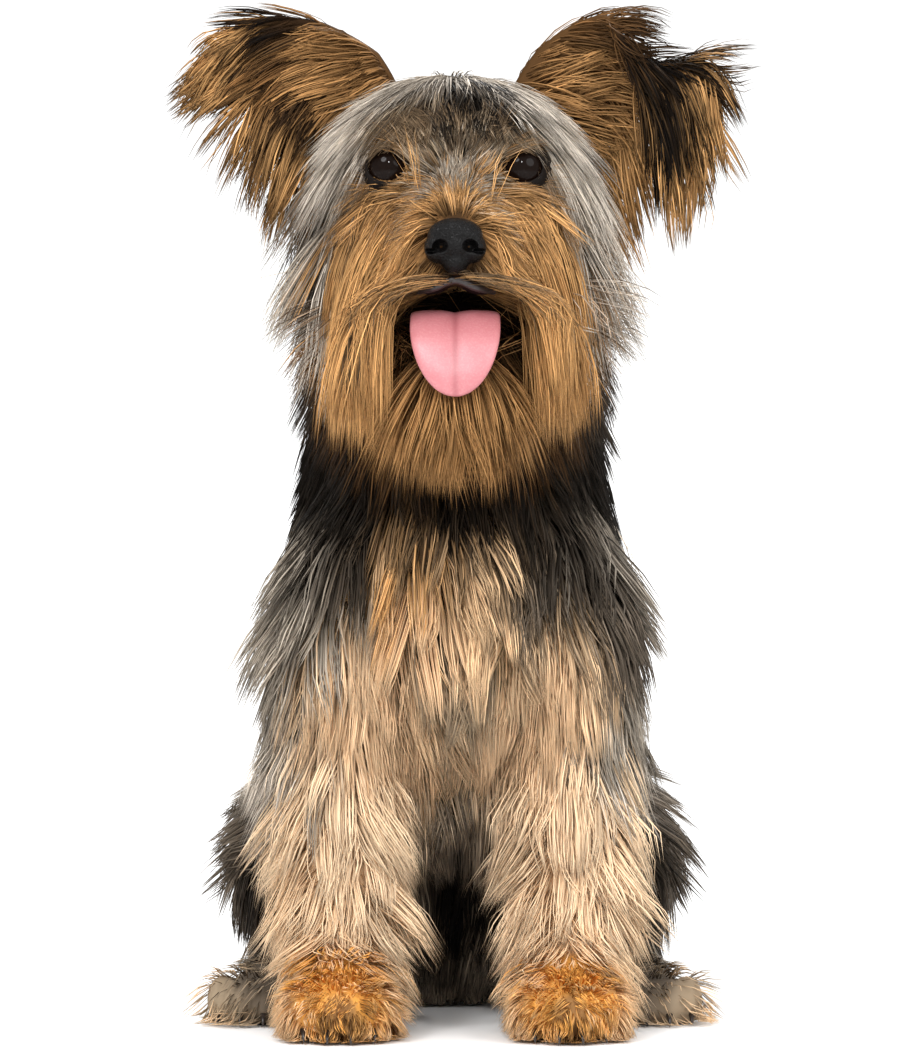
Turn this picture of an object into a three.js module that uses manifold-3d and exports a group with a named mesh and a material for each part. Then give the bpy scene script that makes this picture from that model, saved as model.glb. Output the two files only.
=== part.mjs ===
// Yorkshire terrier, sitting, life size. Millimetres, +Z up, the dog faces -Y and its left side is +X.
// Every node is a core of flesh and undercoat, with the long coat as flat tapered locks joined to it.
import * as THREE from "three";
import { LoftGeometry } from "three/addons/geometries/LoftGeometry.js";
import { mergeVertices } from "three/addons/utils/BufferGeometryUtils.js";
import Module from "manifold-3d";

const wasm = await Module();
wasm.setup();

// Driving dimensions
const gap = 0.4; // between neighbouring nodes
const floorZ = 0; // what the dog sits on
const eyeRadius = 9;
const eyeSpread = 22; // from the midline to an eye's centre
const eyeDepthY = -19.5;
const eyeHeight = 288.5;
const lidThickness = 1.7;
const noseHeight = 261.5;
const noseTipY = -66;
const pawSpread = 38; // from the midline to a forepaw's centre
const hipSpread = 37;
const hindPawSpread = 69;

const down = new THREE.Vector3(0, 0, -1);
const vec = (p) => new THREE.Vector3(...p);
const mirrorPoint = (p) => [-p[0], p[1], p[2]];

// A seeded draw, the same on every run
let seed = 8;
function random() {
  seed = (seed * 1103515245 + 12345) % 2147483648;
  return seed / 2147483648;
}
const vary = (share) => 1 + share * (2 * random() - 1);

// Distance fields: each form gives roughly how far a point is outside it
const ellipsoid = (at, radii) => {
  const centre = vec(at);
  return (p) => {
    const q = p.clone().sub(centre);
    const near = Math.hypot(q.x / radii[0], q.y / radii[1], q.z / radii[2]);
    const steep = Math.hypot(q.x / radii[0] ** 2, q.y / radii[1] ** 2, q.z / radii[2] ** 2);
    return steep < 1e-9 ? -Math.min(...radii) : (near * (near - 1)) / steep;
  };
};

const taper = (from, to, startRadius, endRadius) => {
  const a = vec(from);
  const along = vec(to).sub(a);
  return (p) => {
    const q = p.clone().sub(a);
    const t = Math.min(1, Math.max(0, q.dot(along) / along.lengthSq()));
    return q.sub(along.clone().multiplyScalar(t)).length() - (startRadius + (endRadius - startRadius) * t);
  };
};

// Forms melted into one another over a width of blend
const melt = (blend, forms) => (p) => {
  const distances = forms.map((form) => form(p));
  const least = Math.min(...distances);
  const sum = distances.reduce((total, d) => total + Math.exp((least - d) / blend), 0);
  return least - blend * Math.log(sum);
};

function outward(field, p) {
  const step = 0.2;
  const slope = (axis) => {
    const before = p.clone();
    const after = p.clone();
    before[axis] -= step;
    after[axis] += step;
    return field(after) - field(before);
  };
  return new THREE.Vector3(slope("x"), slope("y"), slope("z")).normalize();
}

// The point of a field's surface nearest to p, height above it
function seat(field, p, height = 0) {
  const q = p.clone();
  for (let i = 0; i < 8; i++) q.addScaledVector(outward(field, q), height - field(q));
  return q;
}

// Walks from far outside towards a centre and stops at the surface
function inwardTo(field, centre, direction, height, reach = 120) {
  let t = reach;
  for (let i = 0; i < 60; i++) {
    const off = field(centre.clone().addScaledVector(direction, t)) - height;
    if (off < 0.02) break;
    t -= off * 0.8;
  }
  return centre.clone().addScaledVector(direction, Math.max(t, 0.5));
}

function solidOf(geometry) {
  const bare = new THREE.BufferGeometry().setAttribute("position", geometry.attributes.position);
  bare.setIndex(geometry.index);
  const merged = mergeVertices(bare, 1e-4);
  const mesh = { numProp: 3, vertProperties: merged.attributes.position.array };
  return new wasm.Manifold(new wasm.Mesh({ ...mesh, triVerts: new Uint32Array(merged.index.array) }));
}

const centreOf = (ring) => ring.reduce((sum, p) => sum.add(p), new THREE.Vector3()).divideScalar(ring.length);

// A closed loft through rings, whichever way round they are listed
function loft(sections) {
  const start = centreOf(sections[0]);
  const turn = new THREE.Vector3();
  sections[0].forEach((p, i, ring) => {
    const next = ring[(i + 1) % ring.length].clone().sub(start);
    turn.add(p.clone().sub(start).cross(next));
  });
  const forward = turn.dot(centreOf(sections[1]).sub(start)) > 0;
  const rings = forward ? sections : sections.map((ring) => [...ring].reverse());
  return solidOf(new LoftGeometry(rings, { capStart: true, capEnd: true }));
}

// A rounded body: a sphere's points walked in to the field's surface
function roundBody(field, centre, detail, height = 0) {
  const geometry = new THREE.IcosahedronGeometry(1, detail);
  const place = geometry.attributes.position;
  const middle = vec(centre);
  for (let i = 0; i < place.count; i++) {
    const direction = new THREE.Vector3().fromBufferAttribute(place, i).normalize();
    const p = inwardTo(field, middle, direction, height);
    place.setXYZ(i, p.x, p.y, p.z);
  }
  return solidOf(geometry);
}

const around = (across, other, angle) =>
  across.clone().multiplyScalar(Math.cos(angle)).addScaledVector(other, Math.sin(angle));

// A long body: rings across a spine, walked in to the field's surface, closed by small end rings
function longBody(field, spine, rings, sides, height = 0) {
  const curve = new THREE.CatmullRomCurve3(spine.map(vec));
  const sections = [];
  for (let i = 0; i <= rings; i++) {
    const t = i / rings;
    const middle = curve.getPointAt(t);
    const along = curve.getTangentAt(t);
    const across = new THREE.Vector3(1, 0, 0).addScaledVector(along, -along.x).normalize();
    const other = along.clone().cross(across);
    const section = [];
    for (let j = 0; j < sides; j++) {
      const angle = (j / sides) * 2 * Math.PI;
      section.push(inwardTo(field, middle, around(across, other, angle), height));
    }
    sections.push(section);
  }
  const first = endRing(field, sections[0], curve.getTangentAt(0).negate(), height);
  const last = endRing(field, sections[rings], curve.getTangentAt(1), height);
  return loft([first, ...sections, last]);
}

// A third of the last ring's size, pushed out along the spine to the field's surface
function endRing(field, section, direction, height) {
  const middle = centreOf(section);
  const reach = inwardTo(field, middle, direction, height).distanceTo(middle) * 0.8;
  return section.map((p) => p.clone().lerp(middle, 0.55).addScaledVector(direction, reach));
}

// The line of a lock: it leaves the skin at its root, follows the lie of the coat and sinks under its weight
function lockLine(field, lock) {
  const steps = 3;
  const rootNormal = outward(field, lock.root);
  const lie = vec(lock.lie).normalize();
  const flat = lie.clone().addScaledVector(rootNormal, -lie.dot(rootNormal)).normalize();
  const direction = flat.multiplyScalar(Math.cos(lock.lift)).addScaledVector(rootNormal, Math.sin(lock.lift));
  const sink = lock.sink;
  const start = lock.root.clone().addScaledVector(rootNormal, -sink).addScaledVector(direction, -sink * 0.5);
  const line = [{ at: start, normal: rootNormal, along: direction.clone() }];
  const p = lock.root.clone().addScaledVector(rootNormal, lock.thick * 0.35);
  for (let i = 1; i <= steps; i++) {
    direction.addScaledVector(down, lock.fall / steps).normalize();
    p.addScaledVector(direction, lock.length / steps);
    const normal = outward(field, p);
    const height = field(p);
    const least = lock.thick * 0.5 + i * 0.5;
    const most = least + lock.loose * i;
    if (height < least) p.addScaledVector(normal, least - height);
    if (height > most) p.addScaledVector(normal, (most - height) * lock.cling);
    p.z = Math.max(p.z, floorZ + lock.thick * 0.5 + gap);
    line.push({ at: p.clone(), normal, along: direction.clone() });
  }
  return line;
}

// A flat lock with a ridge along its middle, widest past its root and drawn out to a fine tip
const lockWidths = [0.75, 1, 0.8, 0.06];
const lockHeights = [1, 0.95, 0.7, 0.12];
function lockSolid(line, lock, grow = 0) {
  const last = line.length - 1;
  const sections = line.map(({ at, normal, along }, i) => {
    const across = along.clone().cross(normal).normalize();
    const half = (lock.width / 2) * lockWidths[i] + grow * 2;
    const rise = (lock.thick / 2) * lockHeights[i] + grow;
    const up = across.clone().cross(along).normalize();
    const middle = at.clone().addScaledVector(along, i === last ? grow * 2 : i === 0 ? -grow : 0);
    const left = middle.clone().addScaledVector(across, half).addScaledVector(up, -rise * 0.6);
    const right = middle.clone().addScaledVector(across, -half).addScaledVector(up, -rise * 0.6);
    return [left, middle.clone().addScaledVector(up, rise * 1.2), right];
  });
  return loft(sections);
}

const joined = (solids) => wasm.Manifold.union(solids);

// Rows of locks. A row is an arc near the skin, with the lie of the coat at its two ends.
const rowDefaults = {
  width: 13,
  thick: 3.4,
  lift: 0.3,
  fall: 0.5,
  cling: 0.6, // how much of a lock's stray height is taken back
  loose: 3, // how far it may stand off before that
  sink: 4,
  jitter: 0.12,
};
function locksOf(field, height, rows) {
  const locks = [];
  for (const given of rows) {
    for (const side of given.both ? [1, -1] : [1]) {
      const row = { ...rowDefaults, ...given };
      const flip = (p) => (side < 0 ? mirrorPoint(p) : p);
      const arc = new THREE.QuadraticBezierCurve3(...row.arc.map((p) => vec(flip(p))));
      for (let i = 0; i < row.count; i++) {
        const t = (i + 0.5 + row.jitter * 2 * (random() - 0.5)) / row.count;
        const lie = vec(flip(row.lie[0])).lerp(vec(flip(row.lie[1])), t);
        lie.x += row.jitter * (random() - 0.5);
        lie.y += row.jitter * (random() - 0.5);
        const lengths = [row.length].flat();
        const length = lengths[0] + (lengths.at(-1) - lengths[0]) * t;
        const root = seat((p) => field(p) - height, arc.getPoint(t));
        const lock = {
          ...row,
          root,
          lie: lie.toArray(),
          length: length * vary(row.jitter),
          width: row.width * vary(row.jitter),
        };
        locks.push({ lock, line: lockLine((p) => field(p) - height, lock) });
      }
    }
  }
  return locks;
}

// Rings of locks round a limb, all leaning away from its spine
function ringRows(spine, stations, shared) {
  const curve = new THREE.CatmullRomCurve3(spine.map(vec));
  return stations.flatMap((station) => {
    const middle = curve.getPointAt(station.at);
    const along = curve.getTangentAt(station.at);
    const across = new THREE.Vector3(1, 0, 0).addScaledVector(along, -along.x).normalize();
    const other = along.clone().cross(across);
    return Array.from({ length: station.count }, (_, i) => {
      const angle = ((i + (station.turn ?? 0)) / station.count) * 2 * Math.PI;
      const direction = around(across, other, angle);
      const p = middle.clone().addScaledVector(direction, 30).toArray();
      const lie = along.clone().addScaledVector(direction, station.flare ?? 0.2).toArray();
      return { ...shared, ...station, count: 1, arc: [p, p, p], lie: [lie, lie] };
    });
  });
}

// Flesh
const skull = melt(5, [
  ellipsoid([0, 12, 290], [35, 42, 30]),
  ellipsoid([0, -12, 296], [24, 19, 19]),
  ellipsoid([20, -2, 266], [18, 27, 22]),
  ellipsoid([-20, -2, 266], [18, 27, 22]),
]);
const snout = melt(3, [
  taper([0, -20, 277], [0, -50, 266], 13, 8.5),
  ellipsoid([8.5, -40, 256], [10, 17, 10.5]),
  ellipsoid([-8.5, -40, 256], [10, 17, 10.5]),
  ellipsoid([0, -53, 260], [8.5, 8, 8]),
]);
const mandible = melt(3, [
  taper([0, 0, 240], [0, -34, 223], 14, 9),
  ellipsoid([0, -38, 221], [9, 7.5, 7]),
]);
const throat = taper([0, 24, 262], [0, 40, 186], 33, 45);
const trunk = melt(9, [
  ellipsoid([0, 36, 150], [46, 42, 52]),
  ellipsoid([0, 72, 108], [46, 50, 50]),
  ellipsoid([0, 100, 72], [42, 50, 48]),
  ellipsoid([0, 120, 46], [44, 42, 44]),
  ellipsoid([0, 2, 150], [22, 18, 28]),
  ellipsoid([36, 22, 142], [17, 26, 36]),
  ellipsoid([-36, 22, 142], [17, 26, 36]),
]);
const trunkSpine = [[0, 22, 172], [0, 48, 138], [0, 84, 96], [0, 122, 50]];
const foreleg = (side) =>
  melt(4, [
    taper([side * 37, 18, 142], [side * 40, 22, 100], 19, 14),
    taper([side * 40, 22, 100], [side * pawSpread, -1, 32], 14, 10),
  ]);
const forepaw = (side) =>
  melt(2.5, [
    ellipsoid([side * pawSpread, -8, 16], [12, 15, 14]),
    ...[-1.5, -0.5, 0.5, 1.5].map((toe) =>
      ellipsoid([side * pawSpread + toe * 8.2, -25 + 2.6 * toe ** 2, 9], [5.6, 12, 9.5]),
    ),
  ]);
const thigh = (side) =>
  melt(6, [
    taper([side * hipSpread, 112, 58], [side * 51, 54, 54], 33, 21),
    taper([side * 53, 54, 46], [side * 54, 100, 24], 16, 13),
  ]);
const hindpaw = (side) =>
  melt(2.5, [
    taper([side * 56, 98, 12], [side * 66, 46, 10], 11, 10),
    ...[-1.5, -0.5, 0.5, 1.5].map((toe) =>
      ellipsoid([side * hindPawSpread + toe * 7.4, 32 + 2.4 * toe ** 2, 8], [5, 12, 8.5]),
    ),
  ]);
const tailSpine = [
  [0, 148, 42],
  [4, 176, 24],
  [22, 195, 14],
  [44, 198, 11],
  [64, 188, 10],
];
const tailBone = melt(
  3,
  tailSpine.slice(1).map((p, i) => taper(tailSpine[i], p, 10 - i * 1.6, 8.4 - i * 1.6)),
);

// How far the undercoat stands off the flesh in each node's core
const underCoat = {
  head: 3, muzzle: 1, jaw: 1, neck: 6, torso: 8,
  foreleg: 6, thigh: 6, hindpaw: 2, tail: 3,
};

// The lie of the long coat, row by row
const headRows = [
  {
    both: true,
    arc: [[-5, -19, 317], [-17, -18, 316], [-29, -8, 309]],
    lie: [[-0.4, -0.6, -0.8], [-0.7, -0.3, -0.9]],
    count: 2,
    length: [34, 40],
    width: 16,
  },
  {
    both: true,
    arc: [[-5, 8, 324], [-20, 8, 320], [-32, 8, 312]],
    lie: [[-0.9, -0.3, -0.1], [-0.9, 0, -0.6]],
    count: 2,
    length: 36,
    width: 18,
  },
  {
    both: true,
    arc: [[-4, 34, 318], [-22, 36, 311], [-35, 30, 300]],
    lie: [[-0.4, 0.8, -0.4], [-0.8, 0.4, -0.8]],
    count: 2,
    length: 42,
    width: 22,
  },
  {
    arc: [[-26, 46, 290], [0, 60, 294], [26, 46, 290]],
    lie: [[-0.2, 0.3, -1], [0.2, 0.3, -1]],
    count: 3,
    length: 46,
    width: 24,
  },
  {
    both: true,
    arc: [[-32, -16, 302], [-39, 2, 294], [-38, 24, 284]],
    lie: [[-0.55, -0.25, -1], [-0.5, 0.2, -1]],
    count: 3,
    length: [72, 62],
    width: 19,
    lift: 0.5,
    cling: 0.25,
  },
  {
    both: true,
    arc: [[-25, -26, 272], [-38, -10, 262], [-37, 18, 256]],
    lie: [[-0.6, -0.3, -0.9], [-0.5, 0.2, -1]],
    count: 4,
    length: [70, 52],
    width: 17,
    cling: 0.1,
    lift: 0.58,
  },
  {
    both: true,
    arc: [[-30, -6, 244], [-33, 16, 242], [-20, 38, 246]],
    lie: [[-0.3, -0.1, -1], [-0.1, 0.3, -1]],
    count: 2,
    length: 40,
    width: 20,
    cling: 0.2,
  },
];
const muzzleRows = [
  {
    both: true,
    arc: [[-7, -33, 284], [-9, -42, 277], [-8, -51, 273]],
    lie: [[-0.9, 0, -0.4], [-0.9, -0.2, -0.5]],
    count: 2,
    length: 30,
    width: 10,
    thick: 2.8,
    cling: 0.2,
    fall: 0.7,
    sink: 2,
  },
  {
    both: true,
    arc: [[-15, -26, 268], [-14, -38, 267], [-10, -51, 264]],
    lie: [[-0.9, 0, -0.5], [-0.8, -0.3, -0.6]],
    count: 3,
    length: [58, 52],
    width: 15,
    thick: 3,
    cling: 0,
    fall: 0.8,
    sink: 2.5,
  },
  {
    both: true,
    arc: [[-18, -28, 257], [-16, -44, 255], [-8, -56, 253]],
    lie: [[-0.8, 0, -0.9], [-0.6, -0.4, -0.8]],
    count: 3,
    length: [64, 48],
    width: 16,
    thick: 3,
    cling: 0,
    fall: 0.8,
    sink: 2.5,
  },
];
const jawRows = [
  {
    both: true,
    arc: [[-11, -32, 224], [-14, -20, 229], [-14, -6, 233]],
    lie: [[-0.6, -0.3, -0.9], [-0.9, 0, -0.8]],
    count: 2,
    length: [44, 50],
    width: 20,
    cling: 0,
    fall: 0.5,
    sink: 3,
  },
  {
    arc: [[-10, -37, 217], [0, -47, 219], [10, -37, 217]],
    lie: [[-0.4, -0.4, -1], [0.4, -0.4, -1]],
    count: 3,
    length: 38,
    width: 17,
    cling: 0,
    lift: 0.1,
    sink: 3,
  },
  {
    arc: [[-12, -16, 214], [0, -22, 210], [12, -16, 214]],
    lie: [[-0.5, -0.2, -1], [0.5, -0.2, -1]],
    count: 3,
    length: 36,
    width: 16,
    cling: 0,
    lift: 0.5,
    sink: 3,
  },
];
const neckRows = [
  {
    arc: [[-34, 2, 208], [0, -16, 206], [34, 2, 208]],
    lie: [[-0.3, -0.2, -1], [0.3, -0.2, -1]],
    count: 4,
    length: 42,
    width: 22,
  },
  {
    both: true,
    arc: [[-44, 12, 214], [-50, 34, 214], [-38, 64, 218]],
    lie: [[-0.3, 0, -1], [-0.2, 0.2, -1]],
    count: 2,
    length: 46,
    width: 24,
    lift: 0.4,
  },
  {
    arc: [[-24, 72, 226], [0, 80, 228], [24, 72, 226]],
    lie: [[-0.3, 0.4, -1], [0.3, 0.4, -1]],
    count: 2,
    length: 48,
    width: 26,
  },
];
const torsoRows = [
  {
    both: true,
    arc: [[-46, 0, 180], [-58, 24, 178], [-50, 54, 182]],
    lie: [[0, -0.1, -1], [0, 0.2, -1]],
    count: 3,
    length: 60,
    width: 24,
    lift: 0.08,
    cling: 0.9,
    loose: 0.8,
  },
  {
    arc: [[-28, -18, 180], [0, -28, 182], [28, -18, 180]],
    lie: [[-0.3, 0, -1], [0.3, 0, -1]],
    count: 3,
    length: 48,
    width: 20,
  },
  {
    arc: [[-30, -20, 150], [0, -26, 150], [30, -20, 150]],
    lie: [[-0.2, 0, -1], [0.2, 0, -1]],
    count: 3,
    length: 48,
    width: 22,
  },
  {
    arc: [[-12, -10, 114], [0, -14, 114], [12, -10, 114]],
    lie: [[-0.1, 0, -1], [0.1, 0, -1]],
    count: 2,
    length: 46,
    width: 16,
  },
  {
    both: true,
    arc: [[-16, 76, 192], [-17, 118, 150], [-18, 152, 100]],
    lie: [[-0.7, 0.5, -0.6], [-0.5, 0.5, -0.8]],
    count: 3,
    length: 52,
    width: 27,
  },
  {
    both: true,
    arc: [[-50, 66, 164], [-56, 98, 128], [-46, 136, 92]],
    lie: [[-0.3, 0.4, -0.9], [-0.2, 0.4, -1]],
    count: 2,
    length: 52,
    width: 30,
  },
  {
    arc: [[-36, 156, 62], [0, 176, 70], [36, 156, 62]],
    lie: [[-0.2, 0.3, -1], [0.2, 0.3, -1]],
    count: 3,
    length: 42,
    width: 25,
  },
];
const forelegSpine = (side) => [
  [side * 38, 20, 150],
  [side * 40, 22, 100],
  [side * 39, 8, 60],
  [side * pawSpread, -2, 26],
];
const forelegRows = (side) =>
  ringRows(
    forelegSpine(side),
    [
      { at: 0.3, count: 5, flare: 0.55 },
      { at: 0.56, count: 5, turn: 0.5, flare: 0.4, width: 24 },
      { at: 0.82, count: 5, flare: 0.6, length: 32, width: 22 },
    ],
    { length: 46, width: 20, thick: 3.8, lift: 0.45, cling: 0.2, fall: 0.3 },
  );
const thighRows = (side) => [
  {
    arc: [[side * 52, 60, 92], [side * 58, 90, 96], [side * 50, 126, 90]],
    lie: [[side * 0.1, 0.2, -1], [side * 0.1, 0.3, -1]],
    count: 2,
    length: 44,
    width: 26,
    lift: 0.08,
    cling: 0.9,
    loose: 0.8,
  },
  {
    arc: [[side * 72, 44, 62], [side * 80, 76, 58], [side * 70, 120, 58]],
    lie: [[side * 0.1, 0, -1], [0, 0.2, -1]],
    count: 3,
    length: 42,
    width: 24,
    lift: 0.08,
    cling: 0.9,
    loose: 0.8,
  },
  {
    arc: [[side * 58, 34, 58], [side * 64, 30, 48], [side * 72, 44, 44]],
    lie: [[side * 0.1, -0.2, -1], [side * 0.2, -0.1, -1]],
    count: 1,
    length: 36,
    width: 22,
  },
];
const tailRows = ringRows(
  tailSpine,
  [
    { at: 0.15, count: 2, turn: 0.5, width: 18 },
    { at: 0.5, count: 3, turn: 0.5 },
    { at: 0.85, count: 3 },
  ],
  { length: 42, width: 15, thick: 3, lift: 0.3, flare: 0.3, fall: 0.15, cling: 0.3, sink: 3 },
);

// An ear: a cupped leather along a bent spine, as crescent sections from the head to the tip
const earPoints = 5;
function earSections({ spine, across, widths, cup }, grow) {
  const thickness = earThickness + 2 * grow;
  const curve = new THREE.CatmullRomCurve3(spine.map(vec));
  const lastRing = 7;
  return Array.from({ length: lastRing + 1 }, (_, i) => {
    const t = i / lastRing;
    const middle = curve.getPointAt(t);
    const along = curve.getTangentAt(t);
    const wide = vec(across[0]).lerp(vec(across[1]), t);
    wide.addScaledVector(along, -wide.dot(along)).normalize();
    const back = along.clone().cross(wide).normalize();
    const span = t * (widths.length - 1);
    const low = Math.min(Math.floor(span), widths.length - 2);
    const half = (widths[low] + (widths[low + 1] - widths[low]) * (span - low)) / 2 + grow;
    const depth = cup * half * (1 - 0.7 * t);
    const edge = (s, off) =>
      middle
        .clone()
        .addScaledVector(wide, s * half)
        .addScaledVector(back, depth * (1 - s * s) + off * (1 - 0.55 * Math.abs(s)));
    const steps = Array.from({ length: earPoints }, (_, j) => -1 + (2 * j) / (earPoints - 1));
    const inner = steps.map((s) => edge(s, thickness / 2));
    return [...inner, ...steps.reverse().map((s) => edge(s, -thickness / 2))];
  });
}
const earThickness = 3;
const leftEar = {
  // the dog's right ear, held out to the side with its cup to the front
  spine: [[-30, 14, 304], [-46, 13, 319], [-64, 9, 327], [-81, 4, 325]],
  across: [[-0.5, 0, 0.85], [0.1, -0.1, 1]],
  widths: [34, 42, 38, 28, 7],
  cup: 0.45,
};
const rightEar = {
  // the dog's left ear, raised and then folded over, so that its tip hangs
  spine: [[30, 14, 302], [44, 14, 320], [59, 8, 329], [71, -3, 324], [75, -10, 307], [74, -8, 290]],
  across: [[-0.8, 0, 0.6], [-1, 0, 0.1]],
  widths: [34, 38, 34, 29, 20, 5],
  cup: 0.3,
};

// Locks along an ear: each leaves the leather from a station on its spine and a share of its half width
function earLocks(ear, stations) {
  const curve = new THREE.CatmullRomCurve3(ear.spine.map(vec));
  return stations.map((station) => {
    const middle = curve.getPointAt(station.at);
    const wide = vec(ear.across[0]).lerp(vec(ear.across[1]), station.at).normalize();
    const span = station.at * (ear.widths.length - 1);
    const low = Math.min(Math.floor(span), ear.widths.length - 2);
    const half = (ear.widths[low] + (ear.widths[low + 1] - ear.widths[low]) * (span - low)) / 2;
    const root = middle.addScaledVector(wide, station.share * half * 0.9);
    root.y += ear.cup * half * (1 - station.share ** 2) * 0.8;
    const lock = { ...rowDefaults, width: 9, thick: 2.6, fall: 0.35, cling: 0, sink: 3, ...station, root };
    const direction = vec(station.lie).normalize();
    const normal = new THREE.Vector3(0, -1, 0).addScaledVector(direction, direction.y).normalize();
    const p = root.clone().addScaledVector(direction, -lock.sink);
    const line = [{ at: p.clone(), normal, along: direction.clone() }];
    p.copy(root);
    for (let i = 1; i <= 3; i++) {
      direction.addScaledVector(down, lock.fall / 3).normalize();
      p.addScaledVector(direction, (lock.length * vary(0.1)) / 3);
      line.push({ at: p.clone(), normal, along: direction.clone() });
    }
    return { lock, line };
  });
}
const leftEarStations = [
  ...[0.34, 0.52, 0.7, 0.88].map((at, i) => ({
    at,
    share: -0.95,
    length: 54 - i * 2,
    width: 13,
    lie: [-0.5 - 0.06 * i, -0.1, -1],
  })),
  ...[0.62, 0.88].map((at) => ({ at, share: -0.3, length: 34, width: 13, lie: [-0.7, -0.3, -0.7] })),
  ...[0.45, 0.68, 0.9].map((at, i) => ({
    at,
    share: 0.8,
    length: 34 - i * 2,
    width: 12,
    lie: [-1, -0.15, 0.25 - 0.15 * i],
    fall: 0.2,
  })),
];
const rightEarStations = [
  ...[0.3, 0.46].map((at) => ({ at, share: -0.95, length: 54, width: 13, lie: [0.3, 0, -1] })),
  ...[0.64, 0.79, 0.94].map((at, i) => ({
    at,
    share: -0.9,
    length: 31 - i * 2,
    width: 12,
    lie: [0.42 - 0.16 * i, 0, -0.9],
    fall: 0.3,
  })),
  ...[0.68, 0.92].map((at, i) => ({ at, share: 0, length: 30 + 5 * i, width: 12, lie: [0.05, -0.2, -1] })),
  ...[0.78].map((at) => ({ at, share: 0.85, length: 26, width: 12, lie: [-0.1, -0.2, -1] })),
];

// Eyes, lids, nose, tongue and lips
const sphereAt = (at, radii, detail = 3) => {
  const geometry = new THREE.IcosahedronGeometry(1, detail);
  geometry.scale(...radii).translate(...at);
  return solidOf(geometry);
};
const eyeCentre = (side) => [side * eyeSpread, eyeDepthY, eyeHeight];
const ball = (side, extra) => sphereAt(eyeCentre(side), Array(3).fill(eyeRadius + extra), 2);
// What opens the lids: an almond that looks forward and a little outward
const lidOpening = (side) =>
  sphereAt([side * (eyeSpread + 1.5), eyeDepthY - 16, eyeHeight + 0.3], [7.4, 17, 5.8], 1);

const noseLeather = melt(2, [
  ellipsoid([0, noseTipY + 7, noseHeight + 2.5], [8.6, 6.6, 5.6]),
  ellipsoid([5, noseTipY + 8.5, noseHeight - 1.5], [4.6, 6, 5]),
  ellipsoid([-5, noseTipY + 8.5, noseHeight - 1.5], [4.6, 6, 5]),
  ellipsoid([0, noseTipY + 8, noseHeight - 5], [4.4, 5.4, 4]),
]);
const noseForm = (grow) => roundBody(noseLeather, [0, noseTipY + 8, noseHeight], 3, grow);
const nostrils = [-1, 1].flatMap((side) => [
  sphereAt([side * 4.6, noseTipY + 1.6, noseHeight - 1.4], [1.9, 4.4, 1.7], 1),
  sphereAt([side * 7.6, noseTipY + 4, noseHeight - 2.6], [2.6, 3, 0.7], 1),
]);

const tongueSpine = [
  [0, -16, 233],
  [0, -32, 237],
  [0, -45, 238],
  [0, -54, 231],
  [0, -58.5, 221],
  [0, -60, 213],
];
const tongueRight = [[0, 0.55], [0.3, 1], [0.75, 0.75], [1, 0], [0.7, -0.8], [0, -1]];
const tongueLeft = [[-0.7, -0.8], [-1, 0], [-0.75, 0.75], [-0.3, 1]];
function tongueSolid(grow = 0) {
  const curve = new THREE.CatmullRomCurve3(tongueSpine.map(vec));
  const rings = 9;
  const sections = [];
  for (let i = 0; i <= rings; i++) {
    const t = i / rings;
    const middle = curve.getPointAt(t);
    const along = curve.getTangentAt(t);
    const up = new THREE.Vector3(1, 0, 0).cross(along).normalize();
    const tip = Math.sqrt(Math.max(0.02, 1 - ((t - 0.62) / 0.385) ** 2));
    const half = (t < 0.62 ? 11 + 3.4 * Math.sin((t / 0.62) * (Math.PI / 2)) : 14.4 * tip) + grow;
    const thick = (t < 0.8 ? 2.2 : 2.2 * Math.sqrt(tip)) + grow;
    const place = ([s, h]) => middle.clone().addScaledVector(up, -h * thick).add(vec([s * half, 0, 0]));
    sections.push([...tongueRight, ...tongueLeft].map(place));
  }
  return loft(sections);
}

// A lip: a soft round edge along the open side of the muzzle or jaw
function lip(points, radius, grow = 0) {
  const wholeLip = [...points.map(mirrorPoint).reverse(), ...points.slice(1)];
  const curve = new THREE.CatmullRomCurve3(wholeLip.map(vec));
  const section = new THREE.Shape().absarc(0, 0, radius + grow, 0, 2 * Math.PI);
  const along = { extrudePath: curve, steps: 9, curveSegments: 1, bevelEnabled: false };
  return solidOf(new THREE.ExtrudeGeometry(section, along));
}
const upperLip = [[0, -55, 250], [7, -53, 247.5], [13, -44, 247], [16, -32, 248], [18, -20, 248]];
const lowerLip = [[0, -43, 226], [6, -41, 227.5], [9.5, -34, 230], [12, -24, 235], [14, -14, 240]];

const claws = (side, spread, frontY, size) =>
  [-1.5, -0.5, 0.5, 1.5].map((toe) => {
    const claw = new THREE.ConeGeometry(size, size * 3.4, 5);
    claw.rotateX(Math.PI * 0.8).translate(side * spread + toe * 7.8, frontY + 2.6 * toe ** 2, size * 1.9);
    return solidOf(claw);
  });

const overlaps = (a, b) => a.min.every((low, i) => low < b.max[i] && b.min[i] < a.max[i]);

function largest(solid) {
  return solid.decompose().reduce((best, body) => (body.volume() > best.volume() ? body : best));
}

const leastShown = 0.6; // of a lock's volume, clear of the nodes before it
const group = new THREE.Group();
const claimed = [];
const finished = [];
const boxed = (solid) => ({ solid, box: solid.boundingBox() });
function clearOf(solid, others) {
  const box = solid.boundingBox();
  const near = others.filter((piece) => overlaps(piece.box, box)).map((piece) => piece.solid);
  return near.length ? solid.subtract(joined(near)) : solid;
}

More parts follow.
